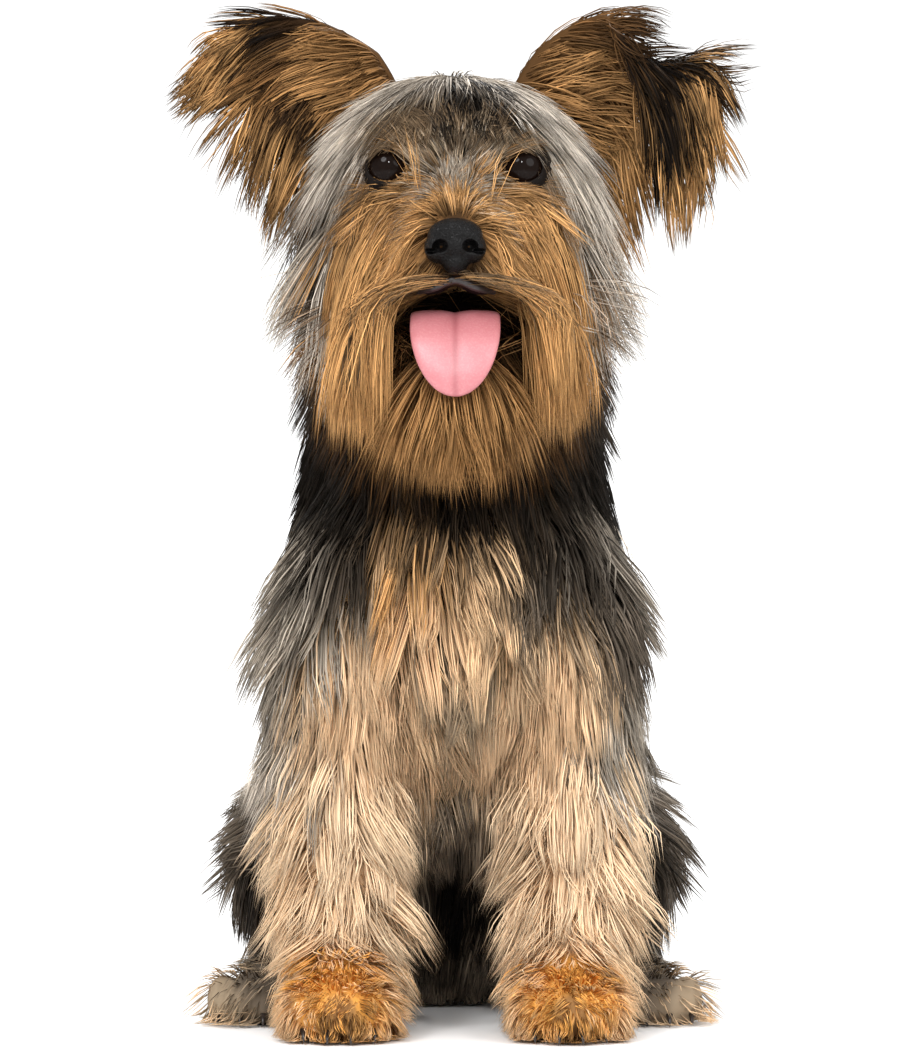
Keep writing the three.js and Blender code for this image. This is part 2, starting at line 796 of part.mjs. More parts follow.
// Node by node: a core, the locks and details joined to it, less what is cut and what its neighbours took.
// A lock that would lie mostly inside a neighbour is left out.
function addNode(name, colour, roughness, make, locks = [], extra = {}) {
  const worn = locks.filter(({ line, lock }) => {
    const solid = lockSolid(line, lock);
    return clearOf(solid, claimed).volume() > leastShown * solid.volume();
  });
  const locksGrown = (grow) => worn.map(({ line, lock }) => lockSolid(line, lock, grow));
  let solid = joined([make(0), ...locksGrown(0), ...(extra.join ?? [])]);
  if (extra.cut) solid = solid.subtract(joined(extra.cut));
  const rough = largest(clearOf(solid, claimed).trimByPlane([0, 0, 1], floorZ).simplify(finest));
  const whole = largest(clearOf(rough, finished).simplify(finest / 50));
  const cover = [make(gap), ...locksGrown(gap), ...(extra.joinGrown ?? [])];
  claimed.push(...cover.map(boxed));
  finished.push(boxed(whole));

  const mesh = whole.getMesh();
  const geometry = new THREE.BufferGeometry();
  geometry.setAttribute("position", new THREE.BufferAttribute(mesh.vertProperties, 3));
  geometry.setIndex(new THREE.BufferAttribute(mesh.triVerts, 1));
  geometry.computeVertexNormals();
  const finish = new THREE.MeshStandardMaterial({ color: colour, roughness, metalness: 0 });
  const shown = new THREE.Mesh(geometry, finish);
  shown.name = name;
  group.add(shown);
}

const finest = 0.3; // detail smaller than this is smoothed away where locks meet
const skin = { tan: "#a9713f", gold: "#c08a4e", cream: "#d8b88c", steel: "#4a4846", black: "#1f1c1a" };
for (const side of [-1, 1]) {
  const name = side < 0 ? "right" : "left";
  addNode(`eye_${name}`, "#120c08", 0.08, (grow) => ball(side, grow));
}
addNode("nose", "#191514", 0.4, noseForm, [], { cut: nostrils });
addNode("tongue", "#d98a98", 0.45, (grow) => tongueSolid(grow));

addNode(
  "neck", skin.black, 0.9,
  (grow) => longBody(throat, [[0, 26, 254], [0, 33, 220], [0, 40, 186]], 4, 14, underCoat.neck + grow),
  locksOf(throat, underCoat.neck, neckRows),
);
addNode(
  "torso", skin.steel, 0.9,
  (grow) => longBody(trunk, trunkSpine, 8, 16, underCoat.torso + grow),
  locksOf(trunk, underCoat.torso, torsoRows),
);
const muzzleHeight = underCoat.muzzle;
addNode(
  "muzzle", skin.gold, 0.9,
  (grow) => roundBody(snout, [0, -38, 264], 4, muzzleHeight + grow),
  locksOf(snout, muzzleHeight, muzzleRows),
  { join: [lip(upperLip, 1.7)], joinGrown: [lip(upperLip, 1.7, gap)] },
);
addNode(
  "lower_jaw", skin.tan, 0.9,
  (grow) => longBody(mandible, [[0, 2, 241], [0, -16, 232], [0, -37, 222]], 4, 10, underCoat.jaw + grow),
  locksOf(mandible, underCoat.jaw, jawRows),
  { join: [lip(lowerLip, 1.6)], joinGrown: [lip(lowerLip, 1.6, gap)] },
);
for (const side of [-1, 1]) {
  const ear = side < 0 ? leftEar : rightEar;
  const name = side < 0 ? "right" : "left";
  addNode(
    `ear_${name}`, skin.tan, 0.9,
    (grow) => loft(earSections(ear, grow)),
    earLocks(ear, side < 0 ? leftEarStations : rightEarStations),
  );
}
addNode(
  "head", skin.steel, 0.9,
  (grow) => roundBody(skull, [0, 4, 284], 5, underCoat.head + grow),
  locksOf(skull, underCoat.head, headRows),
  { join: [-1, 1].map((side) => ball(side, lidThickness)), cut: [-1, 1].map((side) => lidOpening(side)) },
);
for (const side of [-1, 1]) {
  const name = side < 0 ? "right" : "left";
  addNode(
    `forepaw_${name}`, skin.gold, 0.9,
    (grow) => roundBody(forepaw(side), [side * pawSpread, -14, 12], 4, 1.5 + grow),
    [],
    { join: claws(side, pawSpread, -37, 1.4) },
  );
  addNode(
    `foreleg_${name}`, skin.cream, 0.9,
    (grow) => longBody(foreleg(side), forelegSpine(side), 6, 9, underCoat.foreleg + grow),
    locksOf(foreleg(side), underCoat.foreleg, forelegRows(side)),
  );
}
for (const side of [-1, 1]) {
  const name = side < 0 ? "right" : "left";
  addNode(
    `hindpaw_${name}`, skin.tan, 0.9,
    (grow) => roundBody(hindpaw(side), [side * 63, 60, 10], 3, underCoat.hindpaw + grow),
    [],
    { join: claws(side, hindPawSpread, 21, 1.3) },
  );
  addNode(
    `thigh_${name}`, skin.steel, 0.9,
    (grow) => roundBody(thigh(side), [side * 45, 84, 56], 3, underCoat.thigh + grow),
    locksOf(thigh(side), underCoat.thigh, thighRows(side)),
  );
}
addNode(
  "tail", skin.black, 0.9,
  (grow) => longBody(tailBone, tailSpine, 8, 8, underCoat.tail + grow),
  locksOf(tailBone, underCoat.tail, tailRows),
);

// The origin is on the floor, under the middle of the whole dog
const whole = new THREE.Box3().setFromObject(group);
group.position.set(-(whole.min.x + whole.max.x) / 2, -(whole.min.y + whole.max.y) / 2, -whole.min.z);

export default group;
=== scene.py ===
import math

import bpy
import numpy as np
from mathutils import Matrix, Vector, kdtree


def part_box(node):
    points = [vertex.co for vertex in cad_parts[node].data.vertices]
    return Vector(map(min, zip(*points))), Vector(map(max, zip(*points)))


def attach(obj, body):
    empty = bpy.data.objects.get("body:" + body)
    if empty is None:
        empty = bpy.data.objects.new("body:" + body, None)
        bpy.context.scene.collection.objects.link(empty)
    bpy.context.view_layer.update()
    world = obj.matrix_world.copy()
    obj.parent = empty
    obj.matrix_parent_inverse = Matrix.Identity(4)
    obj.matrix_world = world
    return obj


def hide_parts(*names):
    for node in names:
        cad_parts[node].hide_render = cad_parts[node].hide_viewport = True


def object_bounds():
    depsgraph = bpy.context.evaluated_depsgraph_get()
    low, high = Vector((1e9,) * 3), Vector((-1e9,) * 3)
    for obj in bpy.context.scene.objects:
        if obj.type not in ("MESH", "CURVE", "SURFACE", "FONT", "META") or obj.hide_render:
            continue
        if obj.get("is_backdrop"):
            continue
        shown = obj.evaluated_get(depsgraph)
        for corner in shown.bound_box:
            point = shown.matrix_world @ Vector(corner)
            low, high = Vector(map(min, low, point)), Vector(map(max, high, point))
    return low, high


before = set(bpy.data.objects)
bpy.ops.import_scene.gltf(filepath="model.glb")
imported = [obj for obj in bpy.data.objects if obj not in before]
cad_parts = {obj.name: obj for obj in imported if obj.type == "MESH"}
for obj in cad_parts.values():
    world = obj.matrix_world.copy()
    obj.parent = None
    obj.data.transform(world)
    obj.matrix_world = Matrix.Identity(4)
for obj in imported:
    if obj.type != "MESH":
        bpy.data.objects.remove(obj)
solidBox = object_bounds()
mm = 0.001
draw = np.random.default_rng(11)

# Where the dog's own drawing, in millimetres, lies in the frame: found from one eye
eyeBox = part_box("eye_left")
eyeDesign = {"spread": 22.0, "y": -19.5, "height": 288.5}
eyeMiddle = (np.array(eyeBox[0]) + np.array(eyeBox[1])) / 2
shift = eyeMiddle - np.array([eyeDesign["spread"], eyeDesign["y"], eyeDesign["height"]]) * mm
shift[2] = 0.0


def inFrame(p):
    return np.asarray(p, float) * mm + shift


def unit(v):
    return v / np.maximum(np.linalg.norm(v, axis=-1, keepdims=True), 1e-9)


def onSide(side, p):
    # side is 1 for the dog's left as drawn, -1 for its mirror image
    return (side * p[0], p[1], p[2])


# The flesh, from the same forms as the solids' cores: balls and tapers, in millimetres
flesh = {
    "head": [
        ("ball", (0, 12, 290), (35, 42, 30)),
        ("ball", (0, -12, 296), (24, 19, 19)),
        ("ball", (20, -2, 266), (18, 27, 22)),
        ("ball", (-20, -2, 266), (18, 27, 22)),
    ],
    "muzzle": [
        ("taper", (0, -20, 277), (0, -50, 266), 13, 8.5),
        ("ball", (8.5, -40, 256), (10, 17, 10.5)),
        ("ball", (-8.5, -40, 256), (10, 17, 10.5)),
        ("ball", (0, -53, 260), (8.5, 8, 8)),
    ],
    "jaw": [
        ("taper", (0, 0, 240), (0, -34, 223), 14, 9),
        ("ball", (0, -38, 221), (9, 7.5, 7)),
    ],
    "neck": [("taper", (0, 24, 262), (0, 40, 186), 33, 45)],
    "torso": [
        ("ball", (0, 36, 150), (46, 42, 52)),
        ("ball", (0, 72, 108), (46, 50, 50)),
        ("ball", (0, 100, 72), (42, 50, 48)),
        ("ball", (0, 120, 46), (44, 42, 44)),
        ("ball", (0, 2, 150), (22, 18, 28)),
        ("ball", (36, 22, 142), (17, 26, 36)),
        ("ball", (-36, 22, 142), (17, 26, 36)),
    ],
    "tail": [
        ("taper", (0, 148, 42), (4, 176, 24), 10, 8.4),
        ("taper", (4, 176, 24), (22, 195, 14), 8.4, 6.8),
        ("taper", (22, 195, 14), (44, 198, 11), 6.8, 5.2),
        ("taper", (44, 198, 11), (64, 188, 10), 5.2, 3.6),
    ],
}
toes = (-1.5, -0.5, 0.5, 1.5)
for side, name in ((1, "Left"), (-1, "Right")):
    flesh["foreleg" + name] = [
        ("taper", (side * 37, 18, 142), (side * 40, 22, 100), 19, 14),
        ("taper", (side * 40, 22, 100), (side * 38, -1, 32), 14, 10),
        ("ball", (side * 38, -8, 16), (12, 15, 14)),
    ]
    flesh["thigh" + name] = [
        ("taper", (side * 37, 112, 58), (side * 51, 54, 54), 33, 21),
        ("taper", (side * 53, 54, 46), (side * 54, 100, 24), 16, 13),
        ("taper", (side * 56, 98, 12), (side * 66, 46, 10), 11, 10),
    ]
    for toe in toes:
        foreToe = (side * 38 + toe * 8.2, -25 + 2.6 * toe**2, 9)
        hindToe = (side * 69 + toe * 7.4, 32 + 2.4 * toe**2, 8)
        flesh["foreleg" + name].append(("ball", foreToe, (5.6, 12, 9.5)))
        flesh["thigh" + name].append(("ball", hindToe, (5, 12, 8.5)))
forms = [form for part in flesh.values() for form in part]


def formDistance(form, p):
    # how far each point is outside a form
    if form[0] == "ball":
        radii = np.array(form[2], float)
        q = (p - np.array(form[1], float)) / radii
        near = np.linalg.norm(q, axis=1)
        steep = np.linalg.norm(q / radii, axis=1)
        return near * (near - 1) / np.maximum(steep, 1e-6)
    start, end = np.array(form[1], float), np.array(form[2], float)
    along = end - start
    t = np.clip((p - start) @ along / (along @ along), 0, 1)
    return np.linalg.norm(p - start - t[:, None] * along, axis=1) - (form[3] + (form[4] - form[3]) * t)


def fleshDistance(p, blend=3.0):
    # the forms run into one another softly
    sums = np.zeros(len(p))
    for form in forms:
        sums += np.exp(-np.clip(formDistance(form, p), -40, 90) / blend)
    return -blend * np.log(np.maximum(sums, 1e-12))


def fleshNormal(p):
    step = 0.5
    slope = np.empty_like(p)
    for axis in range(3):
        q = p.copy()
        q[:, axis] += step
        slope[:, axis] = fleshDistance(q)
        q[:, axis] -= 2 * step
        slope[:, axis] -= fleshDistance(q)
    return unit(slope)


# Finishes


class Value:
    # a socket that can be used in a Python expression
    def __init__(self, tree, socket):
        self.tree, self.socket = tree, socket

    def maths(self, operation, first, second):
        node = self.tree.nodes.new("ShaderNodeMath")
        node.operation = operation
        for slot, given in zip(node.inputs, (first, second)):
            if isinstance(given, Value):
                self.tree.links.new(given.socket, slot)
            else:
                slot.default_value = given
        return Value(self.tree, node.outputs[0])

    def __sub__(self, other):
        return self.maths("SUBTRACT", self, other)

    def __rsub__(self, other):
        return self.maths("SUBTRACT", other, self)

    def __mul__(self, other):
        return self.maths("MULTIPLY", self, other)

    def __rmul__(self, other):
        return self.maths("MULTIPLY", other, self)

    def __truediv__(self, other):
        return self.maths("DIVIDE", self, other)

    def __rtruediv__(self, other):
        return self.maths("DIVIDE", other, self)


class Finish:
    # a material whose nodes are added by one method
    def __init__(self, name, roughness=0.5, **constants):
        self.material = bpy.data.materials.new(name)
        self.material.use_nodes = True
        self.tree = self.material.node_tree
        self.shader = self.tree.nodes["Principled BSDF"]
        self.shader.inputs["Roughness"].default_value = roughness
        for key, value in constants.items():
            self.shader.inputs[key.replace("_", " ")].default_value = value

    def add(self, kind, settings=None, inputs=None, output=0):
        node = self.tree.nodes.new(kind)
        for key, value in (settings or {}).items():
            if key == "stops":
                ramp = node.color_ramp
                while len(ramp.elements) < len(value):
                    ramp.elements.new(0.5)
                for element, (position, colour) in zip(ramp.elements, value):
                    element.position = position
                    element.color = (*colour, 1)
            else:
                setattr(node, key, value)
        for key, value in (inputs or {}).items():
            if isinstance(value, Value):
                self.tree.links.new(value.socket, node.inputs[key])
            else:
                node.inputs[key].default_value = value
        return Value(self.tree, node.outputs[output])

    def maths(self, operation, value):
        return self.add("ShaderNodeMath", {"operation": operation}, {0: value})

    def feed(self, socketName, value):
        self.tree.links.new(value.socket, self.shader.inputs[socketName])

    def mix(self, factor, first, second):
        node = self.tree.nodes.new("ShaderNodeMix")
        node.data_type = "RGBA"
        for index, value in ((0, factor), (6, first), (7, second)):
            if isinstance(value, Value):
                self.tree.links.new(value.socket, node.inputs[index])
            else:
                node.inputs[index].default_value = (*value, 1) if index else value
        return Value(self.tree, node.outputs[2])

    def bump(self, height, strength, distance):
        inputs = {"Strength": strength, "Distance": distance, "Height": height}
        self.feed("Normal", self.add("ShaderNodeBump", inputs=inputs))


# Tones of the coat: the greys, then the browns and the golds
palette = {
    "black": (0.006, 0.0045, 0.0035),
    "soot": (0.013, 0.010, 0.0075),
    "charcoal": (0.040, 0.031, 0.023),
    "steel": (0.13, 0.103, 0.078),
    "fawn": (0.34, 0.26, 0.175),
    "silver": (0.37, 0.32, 0.26),
    "white": (0.62, 0.55, 0.47),
    "umber": (0.045, 0.023, 0.010),
    "taupe": (0.15, 0.10, 0.058),
    "brown": (0.16, 0.078, 0.028),
    "tan": (0.35, 0.185, 0.070),
    "gold": (0.58, 0.32, 0.125),
    "amber": (0.80, 0.38, 0.085),
    "cream": (0.70, 0.47, 0.27),
    "pale": (0.88, 0.61, 0.37),
    "ivory": (0.92, 0.69, 0.46),
}


def hairFinish(name, roughness=0.55):
    # every point of a hair carries its own tone
    finish = Finish(name, roughness, Specular_IOR_Level=0.05)
    finish.feed("Base Color", finish.add("ShaderNodeAttribute", {"attribute_name": "tone"}))
    return finish.material


# Modelling helpers


def clearSelection():
    if bpy.context.mode != "OBJECT":
        bpy.ops.object.mode_set(mode="OBJECT")
    bpy.ops.object.select_all(action="DESELECT")


def activate(piece):
    clearSelection()
    piece.select_set(True)
    bpy.context.view_layer.objects.active = piece


def addBall(centre, radii, segments=32, rings=18):
    clearSelection()
    bpy.ops.mesh.primitive_uv_sphere_add(segments=segments, ring_count=rings, location=inFrame(centre))
    ball = bpy.context.object
    ball.scale = np.asarray(radii, float) * mm
    bpy.ops.object.transform_apply(location=True, rotation=True, scale=True)
    return ball


def addForm(form):
    if form[0] == "ball":
        return [addBall(form[1], form[2])]
    start, end = np.array(form[1], float), np.array(form[2], float)
    between = 5.0
    count = max(3, int(np.linalg.norm(end - start) / between))
    balls = []
    for i in range(count + 1):
        t = i / count
        radius = form[3] + (form[4] - form[3]) * t
        balls.append(addBall(start + (end - start) * t, (radius,) * 3, 20, 12))
    return balls


def joinPieces(pieces, name):
    clearSelection()
    for piece in pieces:
        piece.select_set(True)
    bpy.context.view_layer.objects.active = pieces[0]
    if len(pieces) > 1:
        bpy.ops.object.join()
    joined = bpy.context.object
    joined.name = name
    bpy.ops.object.transform_apply(location=True, rotation=True, scale=True)
    return joined


def applyModifier(piece, kind, **settings):
    activate(piece)
    modifier = piece.modifiers.new(kind, kind)
    for key, value in settings.items():
        setattr(modifier, key, value)
    bpy.ops.object.modifier_apply(modifier=modifier.name)


def remesh(piece, voxel, smoothing):
    applyModifier(piece, "REMESH", mode="VOXEL", voxel_size=voxel * mm)
    applyModifier(piece, "SMOOTH", factor=0.5, iterations=smoothing)


# The skin

skinLook = {"voxel": 2.2, "smoothing": 6}
skin = joinPieces([ball for form in forms for ball in addForm(form)], "skin")
remesh(skin, skinLook["voxel"], skinLook["smoothing"])
print("skin", len(skin.data.polygons))


# Face: eyes, lids, nose, tongue, lips and mouth

faceLook = {
    "irisColour": (0.006, 0.003, 0.002),
    "lidColour": (0.006, 0.004, 0.003),
    "noseColour": (0.004, 0.0036, 0.0036),
    # darker tone for the tongue's middle line: painted shade in its groove
    "tongueGrooveShade": (0.26, 0.06, 0.07),
    # near black inside the open mouth: its dark gums and painted shade
    "mouthGumsAndShade": (0.02, 0.008, 0.008),
    "lipColour": (0.02, 0.013, 0.012),
    "eyeRadius": 9.0,
    "lidRadius": 10.3,
    "lidRoom": 9.12,
    "lidOpening": ((22.6, -36, 288.9), (7.6, 17, 6.0)),
    "nostril": ((5.0, -65.4, 260.4), (2.7, 6.5, 2.3)),
    "nostrilSlit": ((8.2, -61.4, 258.8), (3.2, 3.4, 0.9)),
    "noseParting": ((0, -65.6, 255.6), (0.5, 2.2, 5.2)),
}


def plainFinish(name, colour, roughness, **constants):
    finish = Finish(name, roughness, **constants)
    finish.shader.inputs["Base Color"].default_value = (*colour, 1)
    return finish


def cutBy(piece, cutter):
    applyModifier(piece, "BOOLEAN", operation="DIFFERENCE", object=cutter, solver="EXACT")
    bpy.data.objects.remove(cutter)


def finishPiece(piece, material):
    activate(piece)
    bpy.ops.object.shade_smooth()
    piece.data.materials.clear()
    piece.data.materials.append(material)
    return piece


def shaped(piece, place):
    # moves every point of a primitive by a rule
    points = np.empty(len(piece.data.vertices) * 3)
    piece.data.vertices.foreach_get("co", points)
    piece.data.vertices.foreach_set("co", place(points.reshape(-1, 3)).ravel())
    piece.data.update()
    return piece


eyeFinish = plainFinish("eye", faceLook["irisColour"], 0.04, Specular_IOR_Level=0.08)
lidFinish = plainFinish("eyelid", faceLook["lidColour"], 0.5, Specular_IOR_Level=0.08)
eyes = {}
for side, name in ((1, "left"), (-1, "right")):
    centre = onSide(side, (eyeDesign["spread"], eyeDesign["y"], eyeDesign["height"]))
    openingAt, opening = faceLook["lidOpening"]
    eye = addBall(centre, (faceLook["eyeRadius"],) * 3, 64, 40)
    eye.name = "eye_" + name + "_ball"
    eyes[name] = finishPiece(eye, eyeFinish.material)
    lid = addBall(centre, (faceLook["lidRadius"],) * 3, 64, 40)
    cutBy(lid, addBall(onSide(side, openingAt), opening, 48, 32))
    cutBy(lid, addBall(centre, (faceLook["lidRoom"],) * 3, 64, 40))
    lid.name = "eyelids_" + name
    remesh(lid, 0.35, 3)
    eyes["lid" + name] = finishPiece(lid, lidFinish.material)
print("eyes done")

noseForms = [
    ("ball", (0, -58.4, 264.2), (9.0, 6.8, 5.6)),
    ("ball", (5.2, -57.3, 260.2), (4.9, 6.4, 5.2)),
    ("ball", (-5.2, -57.3, 260.2), (4.9, 6.4, 5.2)),
    ("ball", (0, -57.6, 256.2), (4.6, 5.6, 4.6)),
    ("ball", (0, -59.2, 261), (5, 6.2, 5)),
]
nose = joinPieces([ball for form in noseForms for ball in addForm(form)], "nose_leather")
remesh(nose, 0.45, 7)
for side in (1, -1):
    for at, radii in (faceLook["nostril"], faceLook["nostrilSlit"]):
        cutBy(nose, addBall(onSide(side, at), radii, 24, 16))
cutBy(nose, addBall(*faceLook["noseParting"], 16, 12))
remesh(nose, 0.3, 3)
noseFinish = plainFinish("noseLeather", faceLook["noseColour"], 0.33, Specular_IOR_Level=0.12)
place = noseFinish.add("ShaderNodeTexCoord", output="Object")
inputs = {"Vector": place, "Scale": 900.0}
cells = noseFinish.add("ShaderNodeTexVoronoi", {"feature": "DISTANCE_TO_EDGE"}, inputs)
stops = [(0.0, (0, 0, 0)), (0.25, (1, 1, 1))]
noseFinish.bump(noseFinish.add("ShaderNodeValToRGB", {"stops": stops}, {"Fac": cells}), 0.5, 0.0003)
finishPiece(nose, noseFinish.material)
print("nose done", len(nose.data.polygons))


def alongCurve(points, shares):
    # a smooth curve through the points, read at even shares of its length
    points = np.array(points, float)
    padded = np.vstack([2 * points[0] - points[1], points, 2 * points[-1] - points[-2]])
    fine = []
    t = np.linspace(0, 1, 24, endpoint=False)[:, None]
    for i in range(len(points) - 1):
        p0, p1, p2, p3 = padded[i : i + 4]
        second = 2 * p0 - 5 * p1 + 4 * p2 - p3
        third = 3 * p1 - p0 - 3 * p2 + p3
        fine.append(0.5 * (2 * p1 + (p2 - p0) * t + second * t**2 + third * t**3))
    fine = np.vstack([*fine, points[-1:]])
    walked = np.append(0, np.cumsum(np.linalg.norm(np.diff(fine, axis=0), axis=1)))
    walked /= walked[-1]
    slopes = unit(np.gradient(fine, axis=0))

    def read(values):
        return np.stack([np.interp(shares, walked, values[:, k]) for k in range(3)], axis=-1)

    return read(fine), unit(read(slopes))


tongueLook = {
    "spine": [(0, -16, 233), (0, -32, 237), (0, -45, 238), (0, -54, 231), (0, -58.5, 221), (0, -60, 212)],
    "rootHalf": 11.5,
    "swell": 3.2,
    "tipFrom": 0.6,
    "rootTo": 0.04,
    "thick": 2.3,
    "grooveDepth": 0.9,
    "grooveHalf": 1.3,
    "edgeDrop": 1.6,
}


def tonguePlace(points):
    # the ball's axis becomes the tongue's length, its equator the tongue's edge
    look = tongueLook
    share = np.clip((1 - points[:, 2]) / 2, 0, 1)
    middle, slope = alongCurve(look["spine"], share)
    up = unit(np.cross(np.array([1.0, 0, 0]), slope))
    tip = np.sqrt(np.clip(1 - ((share - look["tipFrom"]) / (1 - look["tipFrom"])) ** 2, 0, 1))
    start = np.clip(share / look["rootTo"], 0, 1) ** 0.5
    widening = look["rootHalf"] + look["swell"] * np.sin(share / look["tipFrom"] * math.pi / 2)
    half = np.where(share < look["tipFrom"], widening, (look["rootHalf"] + look["swell"]) * tip) * start
    around = np.arctan2(points[:, 1], points[:, 0])
    s, h = np.cos(around), np.sin(around)
    thick = look["thick"] * np.sqrt(np.clip(tip + (share < look["tipFrom"]), 0, 1)) * start
    dip = np.exp(-((s * half / look["grooveHalf"]) ** 2)) * (h < 0)
    groove = look["grooveDepth"] * dip * np.clip(1.25 - share, 0, 1)
    edge = np.sign(s) * np.abs(s) ** 0.7
    lift = h * thick + groove - look["edgeDrop"] * edge**2 * np.clip(1 - share, 0, 1)
    return inFrame(middle + np.stack([edge * half, 0 * s, 0 * s], axis=1) + up * lift[:, None])


clearSelection()
bpy.ops.mesh.primitive_uv_sphere_add(segments=64, ring_count=72, radius=1, location=(0, 0, 0))
tongue = shaped(bpy.context.object, tonguePlace)
tongue.name = "tongue_soft"
activate(tongue)
bpy.ops.object.mode_set(mode="EDIT")
bpy.ops.mesh.select_all(action="SELECT")
bpy.ops.mesh.remove_doubles(threshold=0.02 * mm)
bpy.ops.mesh.normals_make_consistent(inside=False)
bpy.ops.object.mode_set(mode="OBJECT")
tongueFinish = Finish("tongue", 0.42, Coat_Weight=0.15, Coat_Roughness=0.3)
place = tongueFinish.add("ShaderNodeTexCoord", output="Object")
# a darker line down the tongue's middle: painted shade in its groove
across = (tongueFinish.add("ShaderNodeSeparateXYZ", inputs={"Vector": place}) - float(shift[0])) / (1.1 * mm)
groove = tongueFinish.maths("EXPONENT", across * across * -1.0)
speckle = tongueFinish.add("ShaderNodeTexNoise", inputs={"Vector": place, "Scale": 1400.0, "Detail": 2.0})
wide = tongueFinish.add("ShaderNodeTexNoise", inputs={"Vector": place, "Scale": 90.0, "Detail": 3.0})
pink = tongueFinish.mix(wide, (0.40, 0.115, 0.13), (0.48, 0.18, 0.195))
pink = tongueFinish.mix(speckle - 0.45, pink, (0.54, 0.27, 0.27))
tongueFinish.feed("Base Color", tongueFinish.mix(groove * 0.55, pink, faceLook["tongueGrooveShade"]))
tongueFinish.bump(speckle, 0.25, 0.0004)
finishPiece(tongue, tongueFinish.material)
print("tongue done")

lipLines = [
    (1.5, [(0, -55, 250), (7, -53, 247.5), (13, -44, 247), (16, -32, 248), (18, -20, 248)]),
    (1.4, [(0, -43, 226), (6, -41, 227.5), (9.5, -34, 230), (12, -24, 235), (14, -14, 240)]),
]
lipBalls = []
for radius, line in lipLines:
    whole = [onSide(-1, p) for p in line[:0:-1]] + line
    beads, _ = alongCurve(whole, np.linspace(0, 1, 60))
    lipBalls += [addBall(bead, (radius,) * 3, 12, 8) for bead in beads]
lips = joinPieces(lipBalls, "lips")
remesh(lips, 0.5, 6)
finishPiece(lips, plainFinish("lips", faceLook["lipColour"], 0.4).material)
print("lips done")

clawLook = {"size": 1.35, "hindShare": 0.93, "long": 3.6, "lean": 144, "colour": (0.03, 0.022, 0.018)}
claws = []
for stance, frontY, share in ((38, -37, 1), (69, 21, clawLook["hindShare"])):
    size = clawLook["size"] * share
    for side in (1, -1):
        for toe in toes:
            clearSelection()
            bpy.ops.mesh.primitive_cone_add(
                vertices=12,
                radius1=size * mm,
                radius2=0.15 * mm,
                depth=size * clawLook["long"] * mm,
                location=inFrame((side * stance + toe * 7.8, frontY + 2.6 * toe**2, size * 1.9)),
                rotation=(math.radians(clawLook["lean"]), 0, 0),
            )
            claws.append(bpy.context.object)
claws = finishPiece(joinPieces(claws, "claws"), plainFinish("claw", clawLook["colour"], 0.35).material)
print("claws done")

# Ears: cupped leathers along bent spines
earLook = {
    "right": {
        "spine": [(-30, 14, 304), (-46, 13, 319), (-64, 9, 327), (-81, 4, 325)],
        "across": [(-0.5, 0, 0.85), (0.1, -0.1, 1)],
        "widths": [34, 42, 38, 28, 7],
        "cup": 0.45,
    },
    "left": {
        "spine": [(30, 14, 302), (44, 14, 320), (59, 8, 329), (71, -3, 324), (75, -10, 307), (74, -8, 290)],
        "across": [(-0.8, 0, 0.6), (-1, 0, 0.1)],
        "widths": [34, 38, 34, 29, 20, 5],
        "cup": 0.3,
    },
}


def earPlace(ear):
    # lays a flat grid along the ear's spine and cups it
    def place(points):
        share = np.clip(points[:, 0] + 0.5, 0, 1)
        s = np.clip(points[:, 1] * 2, -1, 1)
        middle, slope = alongCurve(ear["spine"], share)
        first, last = (np.array(a, float) for a in ear["across"])
        wide = first + (last - first) * share[:, None]
        wide = unit(wide - (wide * slope).sum(axis=1, keepdims=True) * slope)
        back = unit(np.cross(slope, wide))
        half = np.interp(share, np.linspace(0, 1, len(ear["widths"])), ear["widths"]) / 2
        depth = ear["cup"] * half * (1 - 0.7 * share)
        return inFrame(middle + wide * (s * half)[:, None] + back * (depth * (1 - s**2))[:, None])

    return place


ears = {}
leatherThickness = 2.2 * mm
for name, ear in earLook.items():
    clearSelection()
    bpy.ops.mesh.primitive_grid_add(x_subdivisions=44, y_subdivisions=24, size=1, location=(0, 0, 0))
    leather = shaped(bpy.context.object, earPlace(ear))
    leather.name = "ear_leather_" + name
    applyModifier(leather, "SOLIDIFY", thickness=leatherThickness, offset=0)
    activate(leather)
    bpy.ops.object.mode_set(mode="EDIT")
    bpy.ops.mesh.select_all(action="SELECT")
    bpy.ops.mesh.quads_convert_to_tris()
    bpy.ops.mesh.normals_make_consistent(inside=False)
    bpy.ops.object.mode_set(mode="OBJECT")
    ears[name] = leather
print("ears done")

